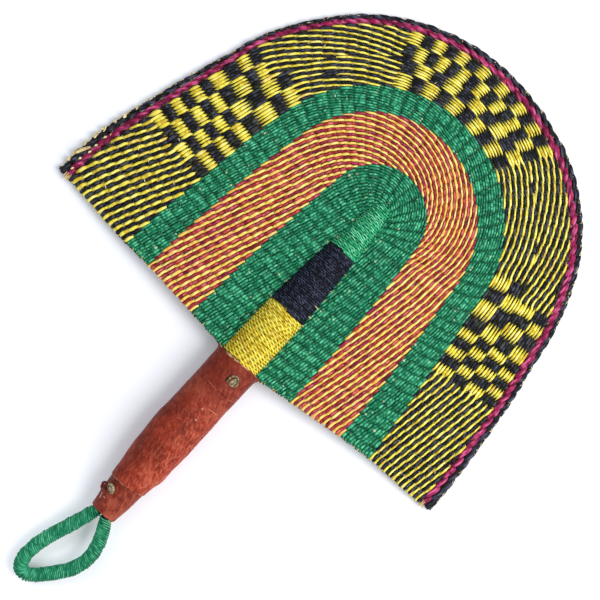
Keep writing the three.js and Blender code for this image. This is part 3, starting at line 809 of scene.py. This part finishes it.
def edge_straws():
    """Straw at the rim and in the pattern: a long straw, tufts and dots at the left corner, slivers, and fuzz."""
    shape = np.random.default_rng(23)
    runs = [tapered([[-157.4, 85.0, 4.9], [-155.7, 89.0, 5.9], [-153.4, 93.2, 5.1]], 1, (0.7, 1.15, 0.75))]
    for x, y, size in TUFTS:
        for _ in range(6):
            turn = math.radians(shape.uniform(35, 140))
            way = np.array([math.cos(turn), math.sin(turn), 0]) * size * shape.uniform(0.35, 0.6)
            middle = np.array([x + shape.uniform(-0.6, 0.6), y + shape.uniform(-0.35, 0.35) * size,
                               RIM_Z + shape.uniform(0.0, 2.0)])
            bend = np.array([-way[1], way[0], 0]) * shape.uniform(-0.5, 0.5)
            points = [middle - way, middle + bend + [0, 0, 0.3], middle + way]
            runs.append(tapered(points, shape.uniform(0.36, 0.6), (0.6, 1, 0.6)))
    for x, y in PALE_DOTS:
        runs.append(tapered([[x - 0.3, y - 0.8, 4.3], [x, y, 5.0], [x + 0.3, y + 0.8, 4.3]], 1, (0.4, 0.8, 0.4)))
    for place, share, ahead, over in SLIVERS:
        line = WeftLine(place)
        reach = np.array([-0.5, 0.0, 0.5])
        points = line.raised(share * line.length + reach * ahead, reach * over, np.array([1.5, 2.5, 2.8]))
        runs.append(tapered(points, 0.34, (0.5, 0.9, 0.5)))
    line = WeftLine(6)
    for s in np.linspace(4, line.length - 4, 300):
        s = s + shape.uniform(-2, 2)
        reach = shape.uniform(-0.9, 0.5)
        lean = shape.choice([-1, 1]) * shape.uniform(0.8, 2.6)
        offset = np.array([-0.7, reach * 0.8, reach]) + shape.uniform(-0.5, 0)
        rise = shape.uniform(-0.6, 1.1) + np.array([0.4, 0.3, -0.1])
        points = line.raised(s + np.array([0, 0.5, 1]) * lean, offset, rise)
        runs.append(tapered(points, shape.uniform(0.12, 0.24), (1, 1, 0.6)))
    return runs


def band(pair, *pieces):
    """A woven band, as one piece for each of its two strands, or as one where both have one colour."""
    for (name, material, slot, node), runs in zip(pieces, pair if len(pieces) == 2 else [pair[0] + pair[1]]):
        laid(name, runs, material, slot, node, flatness=0.62)


def blade():
    band(woven_rows(-0.035, 1, [CAP_STEPS // 2] * 14, plain(CLOSE_STITCH), 11),
         ("inner_green_strands", GREEN_WEFT, "green_grass", "inner_green_weft"))
    band(woven_rows(1, 2, [CAP_STEPS] * 19, plain(RED_BAND_STITCH), 12, ((0.97, 0.93), (0.99, 1.0))),
         ("yellow_strands_in_red_band", YELLOW_IN_RED, "yellow_grass", "red_yellow_weft_outer"),
         ("red_strands", RED_WEFT, "red_grass", "red_yellow_weft_inner"))
    band(woven_rows(2, 3, [CAP_STEPS] * 10, plain(CLOSE_STITCH), 13),
         ("outer_green_strands", GREEN_WEFT, "green_grass", "outer_green_weft"))
    pattern_steps = [CAP_STEPS] * (PATTERN_ROWS // 2) + [OUTER_CAP_STEPS] * (PATTERN_ROWS // 2)
    band(woven_rows(3, 4, pattern_steps, patterned, 14, ((0.99, 0.84), (1.0, 1.05))),
         ("yellow_pattern_strands", YELLOW_WEFT, "yellow_grass", "patterned_weft_inner"),
         ("black_pattern_strands", BLACK_WEFT, "navy_grass", "patterned_weft_outer"))

    laid("magenta_edge_strands", rope_row(4, 5, 15, 0.08), MAGENTA_WEFT, "magenta_grass", "magenta_edge_weft",
         flatness=0.6)
    laid("navy_rim_strands", rope_row(4.88, 5.98, 16, 0.15), RIM_WEFT, "navy_grass", "navy_rim_weft", flatness=0.5)
    stakes = [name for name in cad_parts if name.startswith("stake_")]
    laid("straw_stakes", stake_runs(), STAKE, "straw", *stakes, flatness=0.65, first_number=400)
    laid("straw_tips", straw_tips(), STRAW, "straw", sides=6, flatness=0.75, first_number=600)
    laid("loose_straws", edge_straws(), PALE_STRAW, "straw", sides=6, flatness=0.8, first_number=1100)


# Spine

def spine_half_width(y):
    t = (y - SPINE_START) / (SPINE_TIP - SPINE_START)
    if t <= 1:
        return mix(SPINE_HALF_WIDTH, SPINE_TIP_RADIUS, t) + 4 * t * (1 - t) * SPINE_SWELL
    return math.sqrt(max(SPINE_TIP_RADIUS ** 2 - (y - SPINE_TIP) ** 2, 0.5))


def round_spine(radius, y, angle):
    """Places round the spine, which is a little flattened."""
    return np.column_stack([radius * np.sin(angle), y, HANDLE_Z + radius * FLATNESS * np.cos(angle)])


def wound_spine(colour, start, end, pitch, ply, sway, lay, seed, material):
    """Turns of a two-ply strand round the spine, over a first layer. Ply is a ply's half width and sway
    its way off the strand's middle, as shares of the pitch, and lay is the length of its twist."""
    shape = np.random.default_rng(seed)
    steps = round(600 / lay)
    turns = round((end - start) / pitch)
    pitch = (end - start) / turns
    count = turns * steps + 1
    turn = np.arange(count) / steps
    angle = turn * math.tau
    middle = np.clip(start + pitch * turn, start + pitch * 0.5, end - pitch * 0.5)
    radius = np.array([spine_half_width(y) for y in middle]) - pitch * (ply + sway * 0.6)
    around = np.cumsum(radius * 0.92 * math.tau / steps)
    uneven = wander(shape, turn, 0.07, turns + 2)
    arch = 0.5 * np.cos(angle) + 0.035 * radius * np.sin(angle)
    facing = np.column_stack([np.sin(angle), np.zeros(count), np.cos(angle)])
    runs = []
    for phase in (0, math.pi):
        twist = around / lay * math.tau + phase
        out = radius + pitch * sway * 0.7 * np.cos(twist)
        y = middle + arch - pitch * sway * np.sin(twist) + uneven * pitch
        points = round_spine(out, y, angle)
        wide = pitch * ply * wander(shape, turn, 0.09, 4 * turns + 6, rate=4, middle=1)
        # The lift is lower where a ply twists under the other, so it is painted darker there as shade
        runs.append((points, wide, 0.6 + 0.4 * np.cos(twist)))
    # A first layer under the turns, at a low lift, so it is painted dark as the shade in the gaps between them
    some = slice(None, None, 4)
    under = (radius - 0.3 * pitch)[some]
    inner = (np.clip(start + pitch * turn, start, end) + arch)[some]
    points = round_spine(under, inner, angle[some])
    runs.append(tapered(points, 0.54 * pitch, lift=0.2))
    laid(colour + "_spine_strand", runs, material, colour + "_grass", colour + "_spine_wrap", sides=6,
         twist_mode="MINIMUM", first_number=seed * 10, outward=[facing, facing, np.zeros((len(points), 3))])


def straws_in_bundle():
    """The spine's straws, packed under the windings and the leather, from the collar to the tip."""
    shape = np.random.default_rng(51)
    runs = []
    for share, number in ((0.0, 1), (0.3, 6), (0.6, 12), (0.9, 19)):  # layers, from the middle out
        for index in range(number):
            angle = math.tau * (index + shape.uniform(-0.15, 0.15)) / number
            last = SPINE_TIP + shape.uniform(-9, 2.5) * (1 if share > 0.5 else 0.3)
            points, widths = [], []
            for y in np.linspace(-55.3, last, 26):
                room = (along(GRIP_OUTLINE, y) - 3.3) if y < LIP_Y else spine_half_width(y) - 2.6
                room = min(room, 11.4)
                points.append([grip_drift(y) + room * share * math.cos(angle), y,
                               HANDLE_Z + FLATNESS * room * share * math.sin(angle)])
                widths.append(0.155 * room)
            runs.append(tapered(points, 1, widths, lift=0.5))
    laid("straws_in_bundle", runs, STRAW, "straw", "straw_bundle", flatness=0.9, first_number=900)


def spine():
    wound_spine("yellow", SPINE_START - 0.6, YELLOW_END, 1.8, 0.29, 0.3, 7.6, 31, YELLOW_WRAP)
    wound_spine("navy", YELLOW_END, NAVY_END, 1.4, 0.32, 0.24, 4.6, 32, NAVY_WRAP)
    wound_spine("green", NAVY_END, GREEN_END, 1.45, 0.32, 0.24, 6.5, 33, GREEN_WRAP)
    straws_in_bundle()


# Hanging loop

# The loop's middle line, as [x, distance beyond the hinge]
LOOP_ROUTE = [
    (-1.05, 0), (-1.25, 2), (-1.55, 3.5), (-2.6, 6.4), (-5.2, 15), (-8, 23.5), (-10.7, 31.5), (-12.9, 39.5),
    (-14.1, 47), (-14, 54), (-11.8, 59.6), (-7.4, 61.4), (-2.8, 58.5), (1.6, 53.6), (6, 48.1), (10.3, 42),
    (13.3, 35.3), (14.7, 28.5), (14.2, 21.6), (12.3, 15), (9.6, 9), (6.4, 3.5), (5.7, 2), (5.4, 0),
]
LOOP_CORE = 3.0
LOOP_DROOP = 5.6


def hanging_loop():
    """The loop: a strand wound round a thick cord. Near the leather it thins, so that it clears the mouth."""
    deepest = max(beyond for _, beyond in LOOP_ROUTE)
    knots = [(x, HINGE_Y - beyond, HANDLE_Z - LOOP_DROOP * (beyond / deepest) ** 1.3) for x, beyond in LOOP_ROUTE]
    step = 0.1
    route = smooth_route(knots, step)
    ahead = unit(np.gradient(route, axis=0))
    up = unit(np.array([0, 0, 1.0]) - ahead * ahead[:, 2:])
    across = np.cross(ahead, up)
    length = (len(route) - 1) * step
    shape = np.random.default_rng(41)
    start, pitch, steps = 2.3, 1.28, 18
    turns = int((length - 2 * start) / pitch)
    turn = np.arange(turns * steps + 1) / steps
    angle = turn * math.tau
    bump = wander(shape, turn, 0.15, turns + 2)
    uneven = wander(shape, turn, 0.07, turns + 2)
    middle = start + (length - 2 * start) * turn / turns
    root = np.clip(np.minimum(middle, length - middle) / 8 - 0.1, 0.1, 1)
    s = middle - 1.5 * np.cos(angle) * root + uneven
    index = np.clip(s / step, 0, len(route) - 1)
    frames = [part_way(index, np.arange(len(route)), part) for part in (route, across, up)]
    radius = mix(LOOP_CORE + 0.1, LOOP_CORE + 0.88, root) + bump * root
    facing = frames[1] * np.cos(angle)[:, None] + frames[2] * np.sin(angle)[:, None]
    points = frames[0] + facing * radius[:, None]
    wide = 0.61 * wander(shape, turn, 0.07, 3 * turns + 4, rate=3, middle=1) * mix(0.8, 1, root)
    lift = 0.85 + wander(shape, turn, 0.12, 2 * turns + 3, rate=2)
    # A tube under the turns, at a low lift, so it is painted dark as the shade in the gaps between them
    under = route[8:-8:8]
    runs = [(points, wide, lift), tapered(under, LOOP_CORE + 0.35, lift=0.3)]
    laid("loop_wound_strand", runs, GREEN_LOOP, "green_grass", "loop_winding", body="loop", twist_mode="MINIMUM",
         first_number=800, outward=[facing, np.zeros((len(under), 3))])


# Leather

def spot_group():
    """A soft oval mark on the surface seen from above, 1 in its middle and 0 outside."""
    group, sheet, given, out = new_group("mark", (), {
        "X": 0.0, "Y": 0.0, "Length": 0.004, "Width": 0.001, "Turn": 0.0,
    }, {"Mask": "NodeSocketFloat"})
    place = sheet.value("ShaderNodeTexCoord", "Object")
    x, y, z = sheet.parts(place)
    waver = (sheet.noise(place, 420.0) - 0.5) * 0.0006
    x, y = x - given["X"] + waver, y - given["Y"] + waver
    cosine, sine = sheet.math("COSINE", given["Turn"]), sheet.math("SINE", given["Turn"])
    u = (sheet.math("ABSOLUTE", x * cosine + y * sine) / given["Length"]) ** 2.0
    v = (sheet.math("ABSOLUTE", y * cosine - x * sine) / given["Width"]) ** 2.0
    above = sheet.math("GREATER_THAN", z, HANDLE_Z * MM)
    sheet.feed(out["Mask"], (u + v).ramp(1.0, 0.1) * above)
    return group


def hide_group():
    """Dyed leather: cloudy dye, aslant creases with painted shade in them, pores, pale raw edges, and painted light
    on the right.
    """
    group, sheet, given, out = new_group(
        "dyed_leather", ("Colour", "Dark", "Light", "Raw"), {"Creases": 0.5},
        {"Color": "NodeSocketColor", "Roughness": "NodeSocketFloat", "Height": "NodeSocketFloat"})
    place = sheet.value("ShaderNodeTexCoord", "Object")
    cloud = sheet.noise(place, 48.0, 2.0, 0.5)
    blotch = sheet.noise(place, 230.0, 3.0, 0.6)
    turned = sheet.value("ShaderNodeMapping", 0, {"Vector": place, "Rotation": (0, 0, math.radians(-24))})
    long = sheet.value("ShaderNodeMapping", 0, {"Vector": turned, "Scale": (1.0, 0.32, 1.0)})
    crease = sheet.noise(long, 720.0, 4.0, 0.75)
    grain = sheet.value("ShaderNodeTexVoronoi", "Distance", {"Vector": place, "Scale": 1500.0})
    shade = cloud * 0.6 + blotch * 0.4
    x, y, _ = sheet.parts(place)
    away_from_cuff = y.ramp(0.046, 0.012)  # the leather is darker towards the cuff
    # Painted light: the leather's right side is lighter on the creases' ridges, less so towards the cuff
    lit_right_side = x.ramp(-0.01, 0.012, 0.25, 0.8) * away_from_cuff.times_plus(0.6, 0.4)
    broken = sheet.noise(place, 330.0, 2.0).ramp(0.44, 0.56, 0.05, 0.9)
    sheet.feed(out["Color"], sheet.paint(
        given["Colour"], (shade.ramp(0.52, 0.4, 0.0, 0.6), given["Dark"]),
        (shade.ramp(0.52, 0.64, 0.0, 0.5), given["Light"]), (away_from_cuff.times_plus(-0.5, 0.5), given["Dark"]),
        # Painted light on the right side's crease ridges, and painted shade in the creases
        (lit_right_side * crease.ramp(0.46, 0.64), given["Light"]), (crease.ramp(0.46, 0.3) * given["Creases"], given["Dark"]),
        (sheet.attribute("raw_edge") * broken, given["Raw"])))
    sheet.feed(out["Roughness"], crease.ramp(0.3, 0.7, 0.62, 0.46))
    sheet.feed(out["Height"], crease * given["Creases"] + grain * 0.22 + blotch * 0.5)
    return group


def leather(name, colour, dark, light, raw, creases, marks=()):
    """Marks are places of another colour: x, y, length and width in millimetres, turn in degrees, colour, depth."""
    material, sheet, inputs = new_material(name, 0.2)
    hide = sheet.node("ShaderNodeGroup", {
        "Colour": srgb(*colour), "Dark": srgb(*dark), "Light": srgb(*light), "Raw": srgb(*raw), "Creases": creases,
    }, node_tree=HIDE)
    paint, roughness, height = (Value(sheet, hide.outputs[label]) for label in ("Color", "Roughness", "Height"))
    for x, y, length, width, turn, tint, depth in marks:
        mask = sheet.value("ShaderNodeGroup", "Mask", {
            "X": x * MM, "Y": y * MM, "Length": length * MM, "Width": width * MM, "Turn": math.radians(turn),
        }, node_tree=MARK)
        paint = sheet.blend(mask * 0.85, paint, srgb(*tint))
        height = height + mask * depth
    sheet.feed(inputs["Base Color"], paint)
    sheet.feed(inputs["Roughness"], roughness)
    sheet.feed(inputs["Normal"], sheet.bump(height, 0.8, 0.0006))
    return material


def near(y, place, reach):
    """1 at a place, and less the further away from it."""
    return math.exp(-((y - place) / reach) ** 2)


def seam_shift(y, angle):
    """How far the cut edges wander: the cuff's lip laps over the winding, and the collar's seam hangs down."""
    top = math.cos(angle)
    lip = near(y, LIP_Y, 5) * (0.55 + 0.75 * math.sin(angle) * top + 0.35 * math.sin(3 * angle))
    collar = near(y, COLLAR_END, 4) * (1.35 * (1 + math.sin(angle)) - 0.75 * top)
    cuff = near(y, CUFF_START, 4) * (0.3 * math.sin(2 * angle) + 0.15 * math.cos(5 * angle))
    mouth = near(y, MOUTH_Y, 4) * 0.15 * math.sin(2 * angle + 0.5)
    return lip + collar + cuff + mouth


def grip_drift(y):
    """How far the grip's middle bends to the right towards the loop."""
    return GRIP_DRIFT * max(0.0, (SPINE_START - y) / (SPINE_START - HINGE_Y)) ** 2


def sleeve(name, start, end, swell, raw, material, seed, node, rounding=0.12):
    """A leather sleeve: its wall's outline is spun round the grip, then pressed flat below and creased.

    Swell is how far its outside stands out, and raw how much of the cut shows, at its start and its end."""
    outer = [[y, along(GRIP_OUTLINE, y) + mix(swell[0], swell[1], (y - start) / (end - start))
              - rounding * max(0, 1 - min(y - start, end - y) / 0.5) ** 2]
             for y in np.linspace(start, end, int((end - start) / 0.7))]
    inner = [[y, along(GRIP_OUTLINE, y) - (LEATHER if y > THINNED_BELOW else MOUTH_LEATHER)]
             for y in np.linspace(end, start, 26)]
    profile = outer + inner
    shell = bmesh.new()
    edge_layer = shell.verts.layers.float.new("raw_edge")
    ring = [shell.verts.new((radius * MM, y * MM, 0)) for y, radius in profile]
    edges = [shell.edges.new((a, b)) for a, b in zip(ring, ring[1:] + ring[:1])]
    count = len(outer)
    for index, share in ((0, raw[0]), (-1, raw[0]), (count - 1, raw[1]), (count, raw[1])):
        ring[index][edge_layer] = share
    bmesh.ops.spin(shell, geom=ring + edges, cent=(0, 0, 0), axis=(0, 1, 0), angle=math.tau, steps=112,
                   use_merge=True)
    bmesh.ops.recalc_face_normals(shell, faces=shell.faces)
    for vert in shell.verts:
        x, y, z = vert.co / MM
        radius, angle = math.hypot(x, z), math.atan2(x, z)
        outside = radius > along(GRIP_OUTLINE, y) - LEATHER * 0.5
        lip = min(1.0, GRIP_HALF_WIDTH / along(GRIP_OUTLINE, y))
        drift = grip_drift(y)
        if outside:
            place = Vector((x * 0.09 + seed, y * 0.075, z * 0.09))
            fold = Vector(((x + y * 0.9) * 0.16, (y - x) * 0.05, z * 0.1 + seed))
            radius += 0.42 * noise.noise(place) + 0.16 * noise.noise(fold * 2.2) * (start < 0 < end)
            radius += 0.8 * near(y, -24, 6) * max(0, math.sin(angle)) ** 3
        y += seam_shift(y, angle)
        vert.co = Vector((radius * math.sin(angle) + drift, y,
                          max(HANDLE_Z + radius * FLATNESS * lip * math.cos(angle), 0.05))) * MM
    piece = meshed(bpy.data.meshes.new(name), shell, material)
    piece.data.shade_smooth()
    declared(piece, "leather", node)


def on_leather(x, y, lift):
    """A place on the leather's upper side, lifted off it."""
    half = along(GRIP_OUTLINE, y)
    across = max(-0.98, min(0.98, (x - grip_drift(y)) / half))
    normal = Vector((across, 0, math.sqrt(1 - across ** 2) / FLATNESS)).normalized()
    top = Vector((x, y, HANDLE_Z + FLATNESS * half * math.sqrt(1 - across ** 2)))
    return list(top + normal * lift)


def laced(places, width):
    """A run of lace through places on the leather, each x, y and lift."""
    points = smooth_route([on_leather(*place) for place in places], 0.35)
    shrink = np.minimum(np.arange(len(points)), np.arange(len(points))[::-1])
    return tapered(points, width, np.clip(0.75 + shrink * 0.12, 0, 1))


def lace_knots():
    laid("cuff_knot", [
        laced([(2.8, 47.9, 0.0), (2.5, 50.0, 0.5), (3.0, 52.6, 0.9), (4.6, 53.9, 1.0), (6.2, 53.6, 0.9),
               (7.4, 52.2, 0.5), (7.6, 51.0, 0.0)], 0.68),
        laced([(7.9, 51.9, 0.0), (8.3, 50.2, 0.5), (7.6, 48.6, 0.7), (6.0, 47.9, 0.5), (4.6, 47.8, 0.0)], 0.52),
        laced([(4.4, 48.3, 0.2), (4.8, 50.0, 0.55), (5.4, 51.8, 0.4), (5.6, 52.6, -0.2)], 1.15),
        laced([(6.4, 48.6, 0.2), (6.5, 50.2, 0.5), (6.3, 51.8, 0.2)], 0.95),
    ], LACE, "lace", "cuff_lace_knot", sides=10, flatness=0.7, first_number=1000)
    laid("collar_knot", [
        laced([(-5.2, -46.2, 0.2), (-5.6, -44.6, 1.2), (-4.8, -43.5, 1.7), (-3.4, -43.3, 1.8), (-2.2, -44.3, 1.5),
               (-1.6, -46.0, 1.0), (-1.6, -47.2, 0.1)], 0.95),
        laced([(-4.9, -46.7, 0.1), (-4.0, -45.0, 1.2), (-3.0, -45.4, 1.4), (-2.4, -46.8, 0.9), (-2.2, -47.7, 0.0)],
              0.9),
        laced([(-4.3, -44.1, 1.3), (-3.7, -45.6, 1.5), (-3.9, -47.0, 0.4)], 0.85),
    ], LACE, "lace", "collar_lace_knot", sides=10, flatness=0.75, first_number=1010)
    laid("collar_lace_end", [
        laced([(-4.9, -45.6, 0.4), (-5.9, -44.8, 1.4), (-7.2, -45.1, 2.0), (-7.9, -46.7, 2.0), (-7.4, -48.4, 1.5),
               (-6.3, -49.0, 0.9), (-5.6, -49.8, 0.1)], 0.85),
        laced([(-6.5, -46.8, 0.5), (-7.5, -47.5, 1.5), (-7.8, -48.9, 1.4), (-6.8, -49.9, 0.4)], 0.7),
    ], CURL_LEATHER, "leather", sides=10, flatness=0.5, first_number=1020)


def grip():
    sleeve("leather_cuff_shell", CUFF_START, LIP_Y, (0.0, 0.0), (0.0, 1.0), CUFF_LEATHER, 7.0, "leather_cuff", 0.0)
    sleeve("leather_grip_shell", COLLAR_END, CUFF_START, (0.55, 0.0), (1.0, 0.0), GRIP_LEATHER, 7.0,
           "leather_grip", 0.0)
    sleeve("leather_collar_shell", MOUTH_Y, COLLAR_END, (0.0, -0.1), (0.35, 0.0), COLLAR_LEATHER, 12.0,
           "leather_collar")
    lace_knots()


SLIPS = np.random.default_rng(5).random((PATTERN_ROWS, 120))  # where a stitch of the stripes may be missed
GRASS = grass_group()
GREEN_WEFT = grass("green_weft", (0, 58, 42), (7, 119, 80), (98, 216, 164), valley=0.25, flecks=0.8, groove=0.75,
                   streaks=1.7, uneven=0.52)
YELLOW_WEFT = grass("yellow_weft", (196, 164, 44), (246, 231, 76), (255, 250, 156), (238, 204, 98), 0.15,
                    valley=0.7, groove=0.35, uneven=0.65)
YELLOW_IN_RED = grass("yellow_in_red", (226, 156, 66), (254, 216, 98), (255, 240, 160), (250, 192, 112), 0.35,
                      valley=0.78, groove=0.35, uneven=0.55)
RED_WEFT = grass("red_weft", (104, 16, 28), (174, 44, 50), (230, 116, 108), (164, 32, 80), 0.45, valley=0.66,
                 groove=0.65, uneven=0.7)
BLACK_WEFT = grass("black_weft", (8, 8, 10), (19, 22, 36), (68, 70, 82), (34, 42, 14), 0.4, valley=0.6,
                   groove=0.7)
MAGENTA_WEFT = grass("magenta_weft", (82, 6, 42), (154, 20, 80), (214, 96, 148), (182, 46, 92), 0.3, twist=60,
                     valley=0.6, groove=0.8)
RIM_WEFT = grass("navy_rim_weft", (6, 6, 12), (20, 22, 35), (72, 77, 98), (42, 24, 52), 0.3, twist=60, valley=0.6,
                 groove=0.8)
YELLOW_WRAP = grass("yellow_wrap", (196, 156, 36), (248, 226, 60), (255, 248, 130), (236, 196, 84), 0.2,
                    valley=0.55, groove=0.65)
NAVY_WRAP = grass("navy_wrap", (6, 8, 18), (20, 26, 46), (86, 96, 124), (44, 28, 60), 0.2, valley=0.5, groove=0.75)
GREEN_WRAP = grass("green_wrap", (10, 112, 74), (38, 180, 122), (158, 242, 198), valley=0.5, groove=0.75, uneven=0.7)
GREEN_LOOP = grass("green_loop", (8, 108, 74), (15, 126, 87), (84, 184, 140), valley=0.35, groove=1.0, uneven=0.6)
STRAW = grass("straw", (176, 142, 84), (230, 208, 140), (250, 240, 200), valley=1.0)
PALE_STRAW = grass("pale_straw", (204, 176, 108), (242, 228, 164), (255, 250, 218), valley=1.0)
# The stakes' straw is darker than the loose straw, as painted shade where the weft covers them
STAKE = grass("stake", (150, 122, 70), (206, 184, 120), (238, 226, 180), valley=0.1)
LACE = grass("lace", (88, 76, 54), (146, 131, 100), (188, 174, 140), twist=100.0, valley=1.0, groove=0.5)
MARK = spot_group()
HIDE = hide_group()
# The pale brown is both the leather's pale mottle and its painted light on the right side
RED_BROWN, DARK_BROWN, PALE_MOTTLE_AND_LIT_BROWN = (146, 46, 24), (88, 22, 11), (201, 102, 76)
CUFF_LEATHER = leather("cuff_leather", RED_BROWN, DARK_BROWN, PALE_MOTTLE_AND_LIT_BROWN, (232, 190, 146), 0.6, [
    # A dark dent beside the knot: painted shade in the hole that the lace goes through
    (1.5, 49.0, 0.9, 1.5, 10, (40, 8, 8), -2.0),
    (-1.8, 40.5, 5.2, 0.24, -3, (222, 148, 118), 0.6),
    (12.2, 40.5, 2.2, 0.24, 3, (216, 148, 116), 0.6),
])
GRIP_LEATHER = leather("grip_leather", RED_BROWN, DARK_BROWN, PALE_MOTTLE_AND_LIT_BROWN, (226, 164, 132), 0.65, [
    (9.0, 29.0, 4.6, 0.4, 4, (208, 124, 96), 0.5),
    (3.2, 26.4, 0.6, 0.5, 30, (240, 200, 186), 0.5),
    (4.8, 19.0, 0.6, 0.5, 30, (240, 200, 186), 0.5),
    (-3.0, 13.0, 2.6, 0.35, 24, (190, 96, 72), 0.3),
])
COLLAR_LEATHER = leather("collar_leather", (120, 40, 24), (78, 20, 12), (180, 90, 66), (206, 140, 116), 0.65, [
    (-5.7, -52.7, 2.6, 0.32, 111, (238, 190, 176), 0.5),
    (-3.4, -52.0, 0.9, 0.5, 0, (220, 150, 134), 0.4),
    # A dark dent inside the curl of lace: painted shade
    (-6.4, -47.0, 1.7, 1.6, 0, (44, 10, 10), -1.5),
])
CURL_LEATHER = leather("curl_leather", (96, 26, 26), (48, 10, 12), (170, 84, 72), (206, 140, 116), 0.4)

for name in ("bundle_binding_1", "bundle_binding_2", "loop_core"):
    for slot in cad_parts[name].material_slots:
        slot.material = STRAW
camera()
lights()
floor()
blade()
spine()
hanging_loop()
grip()
